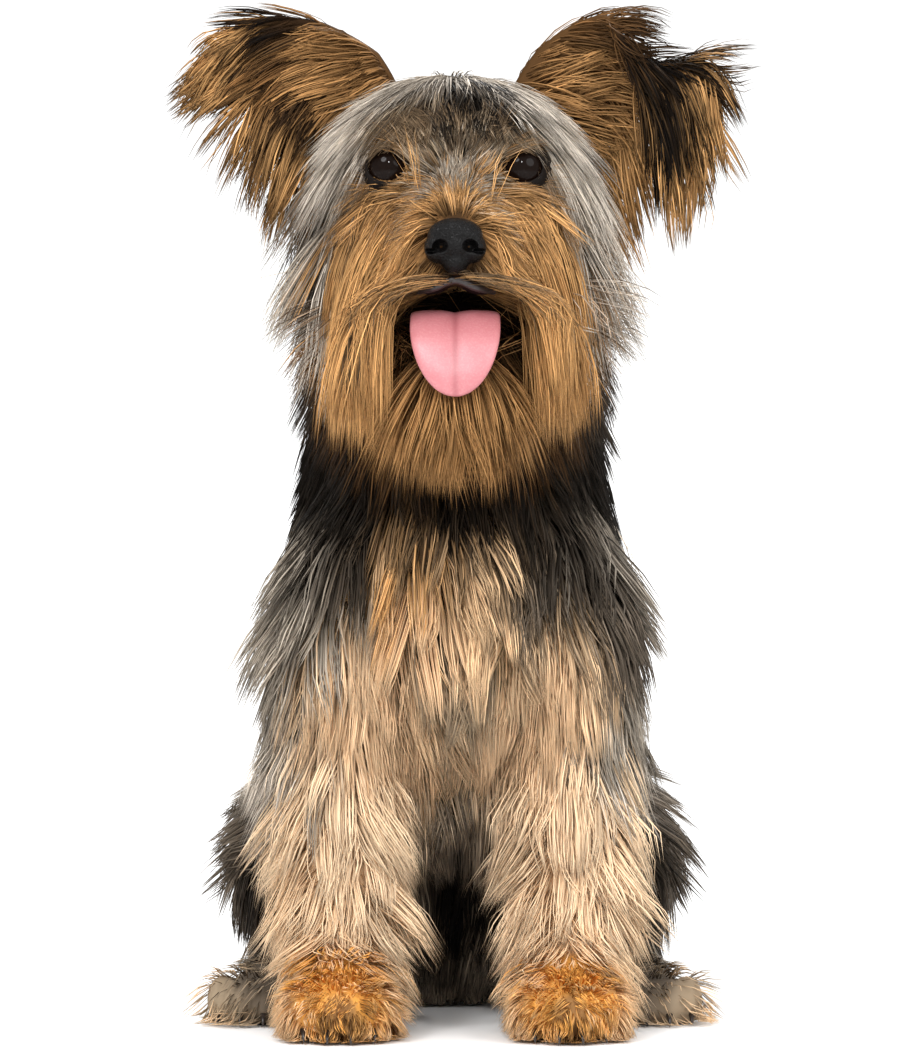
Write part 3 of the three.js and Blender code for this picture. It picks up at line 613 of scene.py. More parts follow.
# How the coat lies: where, which way, how long, how far it lifts, the tones of its root, tip and very end.
# A row that starts with both stands for its mirror image too.
both = "both"
coatNotes = {
    # crown and forehead, parted to both sides
    "crown": [
        ((-3, 8, 324), (-0.9, -0.6, -0.1), 40, 0.16, "steel", "silver"),
        ((4, 8, 324), (0.9, -0.6, -0.1), 40, 0.16, "silver", "white"),
        ((-14, 6, 321), (-0.9, -0.7, -0.3), 44, 0.14, "silver", "white"),
        ((15, 6, 321), (0.9, -0.7, -0.3), 44, 0.16, "silver", "white"),
        ((-27, 8, 314), (-1, -0.5, -0.8), 48, 0.14, "silver", "silver"),
        ((27, 8, 314), (1, -0.4, -0.8), 48, 0.14, "silver", "white"),
        ((0, 36, 320), (0, 0.8, -0.4), 40, 0.16, "steel", "silver"),
        (both, (20, 40, 310), (0.6, 0.6, -0.6), 44, 0.16, "steel", "silver"),
        ((3, -16, 319), (0.2, -0.5, -0.9), 28, 0.25, "black", "soot"),
        ((5, -6, 322), (0.4, -0.9, -0.3), 30, 0.3, "black", "soot"),
        ((-4, -14, 319), (-0.2, -0.6, -0.8), 24, 0.25, "charcoal", "steel"),
        ((9, -22, 312), (0.5, -0.4, -0.9), 24, 0.3, "black", "black"),
        ((2, -24, 310), (0.1, -0.4, -0.9), 20, 0.25, "black", "soot"),
        ((16, -14, 317), (0.8, -0.5, -0.6), 30, 0.28, "silver", "white"),
        ((23, -18, 311), (0.7, -0.4, -0.9), 24, 0.3, "silver", "white"),
        ((-4, -22, 314), (-0.2, -0.5, -0.9), 20, 0.2, "steel", "charcoal"),
        ((-13, -18, 315), (-0.8, -0.4, -0.7), 32, 0.2, "silver", "fawn"),
        ((-22, -16, 311), (-0.9, -0.3, -0.8), 30, 0.2, "silver", "white"),
        ((-15, -22, 309), (-0.8, -0.3, -0.6), 24, 0.25, "charcoal", "taupe"),
        ((15, -23, 308), (0.7, -0.3, -0.8), 20, 0.25, "charcoal", "fawn"),
        (both, (-31, -8, 308), (-0.7, -0.3, -1), 50, 0.2, "silver", "white"),
    ],
    # sides and back of the head
    "cheek": [
        ((-35, 0, 302), (-0.5, -0.2, -1), 66, 0.45, "black", "steel"),
        ((36, 0, 302), (0.5, -0.2, -1), 66, 0.45, "silver", "white"),
        ((-37, 0, 288), (-0.6, -0.2, -1), 64, 0.6, "black", "soot"),
        ((37, 0, 288), (0.6, -0.2, -1), 64, 0.6, "silver", "white"),
        ((-37, -8, 276), (-0.7, -0.25, -1), 58, 0.62, "black", "silver"),
        ((37, -8, 276), (0.7, -0.25, -1), 58, 0.62, "silver", "white"),
        ((-39, 8, 270), (-0.6, -0.1, -1), 54, 0.65, "charcoal", "silver"),
        ((39, 8, 270), (0.6, -0.1, -1), 54, 0.65, "black", "silver"),
        ((-35, -8, 260), (-0.7, -0.2, -1), 54, 0.6, "steel", "white"),
        ((35, -8, 260), (0.7, -0.2, -1), 54, 0.6, "tan", "white"),
        (both, (38, 16, 250), (0.6, 0, -1), 46, 0.6, "black", "charcoal"),
        (both, (38, 34, 290), (0.5, 0.3, -1), 50, 0.3, "charcoal", "steel"),
        ((0, 58, 296), (0, 0.4, -1), 50, 0.25, "charcoal", "steel"),
        (both, (26, 50, 292), (0.3, 0.4, -1), 50, 0.25, "charcoal", "steel"),
        ((0, 58, 262), (0, 0.3, -1), 48, 0.25, "black", "charcoal"),
    ],
    # brows and the face round the eyes
    "brow": [
        (both, (20, -26, 303), (0.5, -0.4, -0.6), 13, 0.4, "umber", "taupe"),
        (both, (30, -20, 300), (0.6, -0.2, -1), 24, 0.35, "umber", "taupe"),
        (both, (11, -30, 298), (0.5, -0.5, 0.5), 9, 0.35, "umber", "taupe"),
        ((2, -31, 303), (0.1, -0.5, 0.2), 9, 0.3, "black", "charcoal"),
        (both, (3, -32, 296), (0.25, -0.4, 0.8), 9, 0.3, "charcoal", "taupe"),
        (both, (7, -32, 288), (0.5, -0.3, 0.6), 9, 0.3, "steel", "fawn"),
        (both, (14, -28, 282), (0.8, -0.3, 0.2), 10, 0.3, "umber", "tan"),
        (both, (22, -28, 280), (0.7, -0.3, -0.5), 9, 0.25, "black", "umber"),
        (both, (31, -22, 287), (0.6, -0.2, -0.8), 8, 0.25, "black", "brown"),
        (both, (34, -16, 296), (0.6, -0.2, -1), 26, 0.4, "umber", "fawn"),
    ],
    "faceSide": [
        (both, (36, -12, 290), (0.3, -0.3, -1), 50, 0.3, "steel", "white"),
        (both, (32, -18, 278), (0.5, -0.2, -0.9), 52, 0.25, "brown", "gold"),
        (both, (25, -24, 276), (0.8, -0.1, -0.5), 54, 0.25, "brown", "gold"),
        (both, (17, -28, 278), (0.9, -0.1, -0.1), 46, 0.2, "tan", "gold"),
        (both, (28, -20, 264), (0.6, 0, -0.9), 52, 0.25, "brown", "tan"),
        (both, (36, -10, 276), (0.3, -0.2, -1), 56, 0.25, "black", "silver"),
    ],
    # top of the muzzle
    "bridge": [
        ((0, -34, 286), (0, -0.1, 0.9), 9, 0.35, "steel", "silver"),
        ((0, -42, 279), (0, 0, 0.9), 9, 0.35, "brown", "silver"),
        (both, (6, -42, 278), (0.7, 0, 0.55), 13, 0.35, "tan", "silver"),
        (both, (10, -36, 277), (0.95, 0, 0.2), 22, 0.3, "tan", "gold"),
        ((0, -52, 271), (0, 0, 0.9), 7, 0.35, "umber", "tan"),
        (both, (7, -51, 271), (0.9, 0, 0.3), 14, 0.35, "brown", "gold"),
    ],
    # moustache, out over the lips and then down
    "moustache": [
        (both, (12, -44, 270), (0.98, 0, -0.05), 62, 0.3, "tan", "gold"),
        (both, (17, -32, 268), (0.95, 0, -0.1), 66, 0.3, "tan", "gold"),
        (both, (11, -54, 264), (0.9, -0.15, -0.3), 58, 0.3, "brown", "gold"),
        (both, (18, -38, 260), (0.9, 0, -0.35), 68, 0.35, "tan", "gold"),
        (both, (14, -50, 256), (0.85, -0.1, -0.5), 60, 0.35, "tan", "gold"),
        (both, (19, -28, 256), (0.85, 0, -0.5), 66, 0.4, "brown", "gold"),
        (both, (17, -40, 250), (0.85, 0, -0.6), 62, 0.4, "brown", "tan"),
    ],
    "lip": [
        (both, (6, -59, 252), (0.6, -0.3, -0.8), 10, 0.35, "umber", "taupe"),
        ((0, -60, 252), (0, -0.5, -0.9), 6, 0.35, "umber", "taupe"),
    ],
    # beard, a fan under the tongue; its upper rows at the sides are painted umber and black as painted shade
    # under the lips and jaw
    "beard": [
        ((0, -46, 219), (0, -0.25, -1), 38, 0.3, "brown", "tan"),
        (both, (7, -43, 220), (0.4, -0.25, -0.95), 42, 0.35, "brown", "tan"),
        (both, (12, -32, 224), (0.8, -0.2, -0.8), 48, 0.35, "umber", "tan"),
        (both, (14, -18, 230), (0.9, -0.1, -0.6), 52, 0.35, "umber", "brown"),
        (both, (14, -4, 236), (0.9, 0, -0.7), 52, 0.35, "black", "umber"),
        ((0, -20, 210), (0, -0.3, -1), 34, 0.5, "umber", "brown"),
    ],
    # neck
    "neck": [
        ((0, -12, 206), (0, -0.3, -1), 36, 0.35, "black", "black"),
        (both, (34, 4, 208), (0.4, -0.2, -1), 38, 0.4, "black", "soot"),
        (both, (46, 34, 212), (0.4, 0.1, -1), 42, 0.35, "black", "soot"),
        ((0, 74, 220), (0, 0.4, -1), 44, 0.25, "black", "charcoal"),
        (both, (30, 66, 220), (0.3, 0.3, -1), 44, 0.25, "black", "charcoal"),
    ],
    # chest
    "chest": [
        ((0, -20, 182), (-0.2, -0.2, -1), 32, 0.4, "black", "soot"),
        ((-18, -20, 168), (0.25, -0.2, -1), 42, 0.4, "brown", "gold"),
        ((4, -22, 164), (0.3, -0.2, -1), 42, 0.4, "brown", "cream"),
        ((22, -16, 184), (0.1, -0.2, -1), 40, 0.4, "black", "soot"),
        ((26, -18, 164), (-0.2, -0.2, -1), 36, 0.4, "charcoal", "steel"),
        ((-16, -24, 150), (0.3, -0.2, -1), 44, 0.45, "cream", "pale"),
        ((16, -24, 150), (-0.2, -0.2, -1), 42, 0.45, "fawn", "cream"),
        ((-32, -18, 140), (-0.1, -0.2, -1), 42, 0.45, "gold", "pale"),
        ((32, -18, 138), (0.25, -0.2, -1), 42, 0.45, "gold", "pale"),
        ((0, -18, 128), (0.1, -0.1, -1), 38, 0.4, "charcoal", "fawn"),
        ((0, -8, 104), (0, -0.1, -1), 36, 0.35, "charcoal", "fawn"),
        ((0, 16, 80), (0, 0, -1), 34, 0.3, "charcoal", "steel"),
        # the belly between the legs, black: its own dark hair and painted shade under the body
        ((0, 40, 50), (0, 0.1, -1), 30, 0.3, "black", "black"),
    ],
    # shoulders, sides and back
    "side": [
        (both, (-44, -2, 178), (-0.1, -0.2, -1), 46, 0.4, "black", "charcoal"),
        (both, (-54, 20, 168), (-0.15, 0, -1), 48, 0.3, "charcoal", "silver"),
        ((-50, 8, 146), (-0.1, 0, -1), 46, 0.35, "charcoal", "silver"),
        ((50, 8, 150), (0.1, 0, -1), 42, 0.35, "charcoal", "steel"),
        (both, (54, 56, 150), (0.2, 0.4, -1), 52, 0.25, "steel", "silver"),
        (both, (50, 90, 110), (0.2, 0.5, -1), 52, 0.25, "steel", "silver"),
        (both, (46, 130, 70), (0.2, 0.5, -1), 46, 0.25, "charcoal", "steel"),
    ],
    "back": [
        ((0, 74, 190), (0, 0.8, -0.7), 46, 0.2, "black", "charcoal"),
        (both, (22, 76, 184), (0.6, 0.6, -0.8), 48, 0.2, "charcoal", "steel"),
        ((0, 116, 152), (0, 0.8, -0.8), 46, 0.2, "charcoal", "steel"),
        (both, (24, 120, 140), (0.6, 0.5, -0.8), 48, 0.2, "steel", "silver"),
        ((0, 150, 106), (0, 0.6, -0.9), 44, 0.2, "charcoal", "steel"),
        (both, (24, 150, 90), (0.5, 0.5, -0.9), 44, 0.2, "steel", "silver"),
        ((0, 166, 60), (0, 0.5, -1), 38, 0.25, "charcoal", "steel"),
        (both, (30, 158, 50), (0.3, 0.4, -1), 38, 0.25, "charcoal", "steel"),
    ],
}
# legs, paws and haunches of the dog's left; the right is the same, mirrored
legNotes = {
    "foreleg": [
        ((38, 0, 130), (0, -0.3, -1), 38, 0.5, "cream", "pale"),
        ((56, 18, 120), (0.3, 0, -1), 42, 0.45, "steel", "silver"),
        ((24, 10, 110), (-0.3, -0.2, -1), 38, 0.6, "cream", "pale"),
        ((38, 4, 96), (0.1, -0.4, -1), 40, 0.6, "pale", "ivory"),
        ((55, 16, 96), (0.5, -0.1, -1), 42, 0.6, "steel", "white"),
        ((55, 14, 78), (0.6, -0.1, -1), 42, 0.75, "pale", "ivory"),
        ((25, 12, 84), (-0.5, -0.3, -1), 40, 0.75, "pale", "ivory"),
        ((40, 38, 90), (0, 0.5, -1), 36, 0.45, "steel", "silver"),
        ((38, -6, 62), (0.15, -0.5, -0.9), 36, 0.6, "pale", "ivory"),
        ((52, 6, 56), (0.8, -0.2, -0.8), 38, 0.75, "pale", "ivory"),
        ((25, 4, 52), (-0.8, -0.2, -0.8), 38, 0.75, "pale", "ivory"),
        ((39, 22, 56), (0, 0.6, -0.9), 32, 0.5, "pale", "ivory"),
        ((38, -12, 38), (0.1, -0.5, -0.9), 20, 0.5, "cream", "pale"),
        ((50, 0, 34), (0.8, -0.1, -0.7), 30, 0.65, "pale", "ivory"),
        ((27, 0, 34), (-0.8, -0.1, -0.7), 28, 0.65, "pale", "ivory"),
        ((38, 10, 30), (0, 0.7, -0.7), 22, 0.4, "pale", "ivory"),
    ],
    "paw": [
        ((38, -22, 21), (0, -0.8, -0.3), 7, 0.5, "amber", "amber"),
        ((38, -35, 12), (0, -0.7, -0.7), 6, 0.45, "tan", "amber"),
        ((38, -37, 5), (0, -0.6, -0.8), 4, 0.4, "brown", "tan"),
        ((53, -22, 10), (0.8, -0.3, -0.6), 11, 0.5, "gold", "pale"),
        ((23, -22, 10), (-0.8, -0.3, -0.6), 11, 0.5, "gold", "pale"),
        ((46, -30, 14), (0.3, -0.7, -0.6), 6, 0.5, "amber", "gold"),
        ((30, -30, 14), (-0.3, -0.7, -0.6), 6, 0.5, "amber", "gold"),
    ],
    "haunch": [
        ((50, 70, 84), (0, 0.3, -1), 36, 0.12, "charcoal", "steel"),
        ((68, 66, 56), (0, 0.1, -1), 34, 0.1, "charcoal", "steel"),
        ((60, 34, 54), (0, -0.3, -1), 30, 0.15, "black", "charcoal"),
        ((54, 120, 58), (0.1, 0.5, -1), 40, 0.15, "charcoal", "steel"),
        ((70, 66, 34), (0.4, 0, -1), 32, 0.3, "charcoal", "silver"),
    ],
    "hindPaw": [
        ((68, 34, 14), (0.2, -0.9, -0.3), 10, 0.5, "steel", "fawn"),
        ((78, 34, 8), (0.8, -0.5, -0.5), 14, 0.5, "fawn", "pale"),
        ((66, 60, 16), (0.2, -0.8, -0.4), 16, 0.4, "charcoal", "silver"),
        ((76, 62, 14), (0.8, -0.4, -0.6), 18, 0.4, "steel", "silver"),
        ((72, 80, 10), (0.6, -0.4, -0.6), 16, 0.4, "charcoal", "steel"),
    ],
}
tailAndEarNotes = {
    "tail": [
        ((0, 158, 40), (0.1, 0.9, -0.4), 34, 0.3, "black", "charcoal"),
        ((8, 186, 22), (0.6, 0.7, -0.3), 34, 0.3, "black", "charcoal"),
        ((36, 204, 14), (0.9, 0.3, -0.3), 32, 0.3, "black", "charcoal"),
        ((36, 188, 12), (0.8, -0.4, -0.3), 28, 0.3, "black", "charcoal"),
        ((62, 188, 12), (0.8, -0.5, -0.3), 26, 0.3, "black", "charcoal"),
    ],
    # the dog's right ear, held out to the side
    "earRight": [
        ((-38, 8, 326), (-0.9, -0.1, 0.1), 26, 0.25, "brown", "tan"),
        ((-56, 6, 338), (-1, -0.1, 0), 26, 0.25, "umber", "black", "tan"),
        ((-72, 4, 338), (-1, -0.1, -0.1), 24, 0.3, "tan", "gold", "black"),
        ((-80, 2, 326), (-0.9, -0.15, -0.4), 24, 0.3, "tan", "gold", "black"),
        ((-68, 4, 324), (-0.8, -0.2, -0.4), 30, 0.25, "brown", "tan", "black"),
        ((-66, 4, 310), (-0.65, -0.15, -0.8), 46, 0.25, "brown", "gold", "black"),
        ((-54, 8, 314), (-0.6, -0.2, -0.6), 20, 0.3, "black", "umber"),
        ((-52, 8, 300), (-0.5, -0.15, -1), 52, 0.25, "umber", "gold", "black"),
        ((-40, 8, 298), (-0.35, -0.1, -1), 50, 0.25, "umber", "tan", "brown"),
        ((-60, 22, 324), (-1, 0.3, 0), 24, 0.25, "umber", "brown"),
    ],
    # the dog's left ear, raised and folded over
    "earLeft": [
        ((38, 8, 312), (0.6, -0.1, 0.5), 26, 0.25, "brown", "tan"),
        ((52, 8, 332), (0.8, -0.1, 0.2), 24, 0.25, "brown", "umber"),
        ((66, -2, 331), (0.6, -0.3, -0.5), 28, 0.3, "black", "black"),
        ((70, -10, 312), (0.15, -0.1, -1), 36, 0.25, "black", "black", "black"),
        ((82, -10, 314), (0.5, -0.1, -0.9), 32, 0.3, "tan", "gold", "black"),
        ((78, -10, 296), (0.25, -0.1, -1), 34, 0.25, "tan", "gold", "black"),
        ((66, -8, 298), (0, -0.1, -1), 40, 0.25, "tan", "gold", "black"),
        ((54, 6, 312), (0.35, 0, -1), 50, 0.2, "brown", "gold", "black"),
        ((42, 10, 302), (0.35, 0, -1), 52, 0.2, "umber", "gold", "brown"),
        ((54, 22, 324), (0.9, 0.3, -0.1), 24, 0.25, "umber", "brown"),
    ],
}
coatMap = {}


def note(region, at, lie, length, lift, root, tip, end=None):
    entry = {"region": region, "at": at, "lie": lie, "length": length, "lift": lift}
    coatMap.setdefault(region, []).append({**entry, "root": root, "tip": tip, "end": end or tip})


def noteAll(notes, side=1, tag=""):
    for region, rows in notes.items():
        for row in rows:
            at, lie, *rest = row[1:] if row[0] == both else row
            for turn in (side, -side) if row[0] == both else (side,):
                note(region + tag, onSide(turn, at), onSide(turn, lie), *rest)


noteAll(coatNotes)
noteAll(legNotes, 1, "Left")
noteAll(legNotes, -1, "Right")
noteAll(tailAndEarNotes)

regionNames = list(coatMap)
earRegions = {"earLeft": "left", "earRight": "right"}
entries = [entry for rows in coatMap.values() for entry in rows]


class Notes:
    # the rows of some regions as arrays, read at any point by nearness
    def __init__(self, rows):
        self.at = np.array([e["at"] for e in rows], float)
        self.lie = unit(np.array([e["lie"] for e in rows], float))
        self.length = np.array([e["length"] for e in rows], float)
        self.lift = np.array([e["lift"] for e in rows], float)
        self.root = np.array([palette[e["root"]] for e in rows])
        self.tip = np.array([palette[e["tip"]] for e in rows])
        self.end = np.array([palette[e["end"]] for e in rows])
        self.region = np.array([regionNames.index(e["region"]) for e in rows])

    def shares(self, p, power):
        away = np.linalg.norm(p[:, None] - self.at[None], axis=2)
        w = 1 / np.maximum(away, 1.0) ** power
        return w / w.sum(axis=1, keepdims=True)


bodyNotes = Notes([e for e in entries if e["region"] not in earRegions])
earNotes = {region: Notes(coatMap[region]) for region in earRegions}

# Growing the hair: how many, how wide, how bent, how much in clumps, how soon it falls, how far it
# stands off the flesh and how much it waves
hairTraits = ("count", "width", "bends", "clump", "fall", "loft", "curl")
hairLook = {
    "crown": (5400, 0.5, 4, 0.4, 0.6, 4, 0.06),
    "cheek": (6500, 0.6, 4, 0.5, 0.6, 8, 0.06),
    "faceSide": (4000, 0.5, 5, 0.5, 2.6, 6, 0.06),
    "brow": (4200, 0.4, 3, 0.3, 0.3, 6, 0.06),
    "bridge": (2400, 0.36, 3, 0.25, 0.2, 2, 0.05),
    "moustache": (5200, 0.55, 5, 0.5, 3.6, 5, 0.06),
    "lip": (400, 0.36, 3, 0.2, 0.3, 1.5, 0.05),
    "beard": (4600, 0.55, 4, 0.4, 0.8, 5, 0.07),
    "neck": (3000, 0.95, 3, 0.6, 0.4, 7, 0.1),
    "chest": (5200, 0.7, 4, 0.7, 0.4, 9, 0.24),
    "side": (4600, 0.95, 3, 0.6, 0.4, 8, 0.14),
    "back": (3600, 1.1, 3, 0.6, 0.4, 8, 0.12),
    "foreleg": (6400, 0.62, 3, 0.65, 0.5, 12, 0.26),
    "paw": (2600, 0.45, 2, 0.5, 0.2, 3, 0.3),
    "haunch": (1900, 1.0, 3, 0.6, 0.4, 3, 0.12),
    "hindPaw": (1000, 0.6, 2, 0.4, 0.3, 3, 0.2),
    "tail": (1200, 1.0, 3, 0.5, 0.3, 6, 0.1),
    "ear": (3200, 0.55, 4, 0.6, 0.5, 0, 0.08),
}
pairedParts = ("foreleg", "paw", "haunch", "hindPaw", "ear")
growth = {
    "clumpSize": 20,
    "lengths": (0.7, 1.08),
    "lifts": (0.5, 1.35),
    "widths": (0.7, 1.3),
    "layers": (0.15, 1.0),
    "clearing": (0.74, 1.1),
    "rootDepth": 0.6,
    "leaderSway": 0.2,
    "ownSway": 0.1,
    "leaderStray": 3.2,
    "ownStray": 2.2,
    "leaderLight": 0.2,
    "ownLight": 0.3,
    "lieSharpness": 3.5,
    "toneSharpness": 7.0,
    "standOff": 0.6,
    "waveStep": 1.7,
    "tipGather": 0.75,
    "darkerEnd": 0.6,
}
# Rooms that no hair may fill: before the eyes, round the nose, and the open mouth with the tongue
keptClear = [
    ((22.6, -34, 288.6), (9.6, 15, 7.2)),
    ((-22.6, -34, 288.6), (9.6, 15, 7.2)),
    ((0, -66, 261.5), (11, 12, 9.5)),
    ((2, -52, 239), (33, 200, 12)),
    ((0, -62, 222), (14.5, 14, 13)),
]


def clearedOf(place, ease):
    # pushes points out of the rooms, to the sides more than forward or back
    forward, backward = -0.4, 3
    for middle, radii in keptClear:
        away = (place - np.array(middle)) / np.array(radii) / ease
        near = np.linalg.norm(away, axis=-1, keepdims=True)
        push = away / np.maximum(near, 0.05) * np.maximum(1 - near, 0) * np.array(radii) * ease
        push[..., 1] = np.clip(push[..., 1], forward, backward)
        place = place + push
    return place


def meshArrays(piece):
    data = piece.data
    data.calc_loop_triangles()
    points = np.empty(len(data.vertices) * 3)
    data.vertices.foreach_get("co", points)
    points = (points.reshape(-1, 3) - shift) / mm
    triangles = np.empty(len(data.loop_triangles) * 3, int)
    data.loop_triangles.foreach_get("vertices", triangles)
    loops = np.empty(len(data.loop_triangles) * 3, int)
    data.loop_triangles.foreach_get("loops", loops)
    return points, triangles.reshape(-1, 3), loops.reshape(-1, 3)


class Ground:
    # the faces that hair can grow from, with an unwrap of their own shape
    def __init__(self, piece, notes):
        activate(piece)
        bpy.ops.object.mode_set(mode="EDIT")
        bpy.ops.mesh.select_all(action="SELECT")
        bpy.ops.uv.smart_project(angle_limit=math.radians(66), island_margin=0.004)
        bpy.ops.object.mode_set(mode="OBJECT")
        self.piece = piece
        self.points, triangles, loops = meshArrays(piece)
        uv = np.empty(len(piece.data.loops) * 2)
        piece.data.uv_layers.active.data.foreach_get("uv", uv)
        self.uv = uv.reshape(-1, 2)[loops]
        self.corners = self.points[triangles]
        self.middles = self.corners.mean(axis=1)
        cross = np.cross(self.corners[:, 1] - self.corners[:, 0], self.corners[:, 2] - self.corners[:, 0])
        self.areas = np.linalg.norm(cross, axis=1) / 2
        self.normals = unit(cross)
        self.notes = notes
        self.region = notes.region[np.argmax(notes.shares(self.middles, 4.0), axis=1)]
        self.bare = self.middles[:, 2] < 1.5  # no hair under the paws

    def clear(self, middle, radii):
        away = (self.middles - np.array(middle, float)) / np.array(radii, float)
        self.bare |= np.linalg.norm(away, axis=1) < 1


skinGround = Ground(skin, bodyNotes)
for side in (1, -1):
    skinGround.clear((side * 22.4, -28, 288.7), (7.6, 12, 6))
skinGround.clear((0, -58, 261.5), (8.5, 9, 8))
skinGround.clear((0, -44, 238), (17, 26, 9.5))
earGrounds = {region: Ground(ears[name], earNotes[region]) for region, name in earRegions.items()}


def spread(name, *shape):
    return draw.uniform(*growth[name], shape)


def growHair(region, look, ground):
    faces = np.nonzero((ground.region == regionNames.index(region)) & ~ground.bare)[0]
    count = look["count"]
    chosen = draw.choice(faces, count, p=ground.areas[faces] / ground.areas[faces].sum())
    u, v = draw.random(count), draw.random(count)
    fold = u + v > 1
    u[fold], v[fold] = 1 - u[fold], 1 - v[fold]
    weights = np.stack([1 - u - v, u, v], axis=1)[:, :, None]
    root = (ground.corners[chosen] * weights).sum(axis=1)
    uv = (ground.uv[chosen] * weights).sum(axis=1)
    normal = ground.normals[chosen] if region in earRegions else fleshNormal(root)

    share = ground.notes.shares(root, growth["lieSharpness"])
    lie = unit(share @ ground.notes.lie)
    length = (share @ ground.notes.length) * spread("lengths", count)
    lift = (share @ ground.notes.lift) * spread("lifts", count)

    # every clump has a leader, and its hairs lean towards it
    leaders = draw.choice(count, count // growth["clumpSize"], replace=False)
    tree = kdtree.KDTree(len(leaders))
    for i, leader in enumerate(leaders):
        tree.insert(root[leader], i)
    tree.balance()
    leader = leaders[np.array([tree.find(p)[1] for p in root])]

    sway = unit(draw.normal(size=(count, 3)))
    lie = unit(lie + growth["leaderSway"] * sway[leader] + growth["ownSway"] * sway)
    flat = unit(lie - (lie * normal).sum(axis=1, keepdims=True) * normal)
    along = flat * np.cos(lift)[:, None] + normal * np.sin(lift)[:, None]

    ease = spread("clearing", count, 1)
    bends = look["bends"]
    layer = spread("layers", count)
    curl = unit(draw.normal(size=(count, 3)))[leader]
    place = root.copy()
    points = [root - normal * growth["rootDepth"]]
    for i in range(1, bends + 1):
        turn = look["curl"] * np.sin(i * growth["waveStep"] + leader)[:, None] * curl
        along = unit(along + np.array([0, 0, -look["fall"] / bends]) + turn)
        place = place + along * (length / bends)[:, None]
        for _ in range(2):
            height = fleshDistance(place)
            least = growth["standOff"] + layer * look["loft"] * (i / bends) ** 0.7
            short = np.maximum(least - height, 0)
            place = place + fleshNormal(place) * short[:, None] * 0.8
        place = clearedOf(place, ease)
        place[:, 2] = np.maximum(place[:, 2], 1.2)
        points.append(place.copy())
    path = np.stack(points, axis=1)

    # gather towards the leader's path, more and more to the tip
    steps = np.linspace(0, 1, bends + 1)[None, :, None]
    guide = path[leader] + (root - root[leader])[:, None] * (1 - growth["tipGather"] * steps)
    pull = look["clump"] * steps**1.3
    path = path * (1 - pull) + guide * pull
    path[:, 1:] = clearedOf(path[:, 1:], ease[:, None])
    path[:, 1:, 2] = np.maximum(path[:, 1:, 2], 1.0)

    stray = draw.normal(size=(count, 3))[leader] * growth["leaderStray"]
    stray = stray + draw.normal(size=(count, 3)) * growth["ownStray"]
    tones = ground.notes.shares(root + stray, growth["toneSharpness"])
    light = draw.normal(0, growth["ownLight"], count)
    light = np.exp(light + draw.normal(0, growth["leaderLight"], count)[leader])[:, None]
    tone = [(tones @ values) * light for values in (ground.notes.root, ground.notes.tip)]
    ends = tones @ ground.notes.end
    darker = (ends.sum(axis=1) < growth["darkerEnd"] * tone[1].sum(axis=1))[:, None]
    ends = np.where(darker, ends, tone[1])
    width = spread("widths", count) * look["width"]
    hairs = {"path": path, "uv": uv, "normal": normal, "width": width}
    return {**hairs, "root": tone[0], "tip": tone[1], "end": ends}


def hairMesh(name, hairs):
    # three-sided tapering hairs, joined into one mesh
    path = hairs["path"]
    count, rings = path.shape[0], path.shape[1]
    slope = unit(np.gradient(path, axis=1))
    across = unit(np.cross(slope, hairs["normal"][:, None]))
    up = np.cross(across, slope)
    steps = np.linspace(0, 1, rings)
    taper = (1 - np.clip((steps - 0.5) / 0.5, 0, 1)) ** 0.6
    profile = np.clip(np.minimum(0.7 + 1.2 * steps, 1) * taper, 0.05, 1)
    half = (hairs["width"][:, None] / 2 * profile[None])[:, :, None]
    sides = [path + half * (math.cos(a) * across + 0.6 * math.sin(a) * up) for a in (0.0, 2.1, 4.2)]
    vertices = np.stack(sides, axis=2)[:, :-1].reshape(count, -1, 3)
    vertices = np.concatenate([vertices, path[:, -1:]], axis=1)
    perHair = vertices.shape[1]
    faces = [(0, 2, 1)]
    for i in range(rings - 2):
        for j in range(3):
            k = (j + 1) % 3
            a, b, c, d = i * 3 + j, i * 3 + k, (i + 1) * 3 + k, (i + 1) * 3 + j
            faces += [(a, b, c), (a, c, d)]
    last = (rings - 2) * 3
    faces += [(last + j, last + (j + 1) % 3, perHair - 1) for j in range(3)]
    faces = (np.array(faces)[None] + (np.arange(count) * perHair)[:, None, None]).reshape(-1, 3)

    mesh = bpy.data.meshes.new(name)
    mesh.vertices.add(count * perHair)
    mesh.vertices.foreach_set("co", inFrame(vertices.reshape(-1, 3)).ravel())
    mesh.loops.add(faces.size)
    mesh.loops.foreach_set("vertex_index", faces.ravel())
    mesh.polygons.add(len(faces))
    mesh.polygons.foreach_set("loop_start", np.arange(len(faces)) * 3)
    mesh.polygons.foreach_set("loop_total", np.full(len(faces), 3))
    mesh.polygons.foreach_set("use_smooth", np.ones(len(faces), bool))
    mesh.update(calc_edges=True)

    along = np.append(np.repeat(steps[:-1], 3), 1.0)
    t = np.clip(along / 0.7, 0, 1)[None, :, None]
    tone = hairs["root"][:, None] * (1 - t) + hairs["tip"][:, None] * t
    t = np.clip((along - 0.62) / 0.25, 0, 1)[None, :, None]
    tone = tone * (1 - t) + hairs["end"][:, None] * t
    darkest, lightest = 0.003, 0.92
    tone = np.maximum(tone / np.maximum(tone.max(axis=2, keepdims=True) / lightest, 1), darkest)
    colour = np.concatenate([tone, np.ones((count, perHair, 1))], axis=2)
    attribute = mesh.color_attributes.new("tone", "FLOAT_COLOR", "POINT")
    attribute.data.foreach_set("color", colour.reshape(-1))

    # each hair's patch lies round its root's place on the unwrap of the skin
    patch = 0.003
    offset = np.stack([np.append(np.tile([0, 0.5, 1.0], rings - 1), 0.5), along], axis=1) - 0.5
    pointUv = hairs["uv"][:, None] + offset[None] * patch
    layer = mesh.uv_layers.new(name="OFBake")
    layer.data.foreach_set("uv", pointUv.reshape(-1, 2)[faces.ravel()].ravel())
    piece = bpy.data.objects.new(name, mesh)
    bpy.context.collection.objects.link(piece)
    return piece


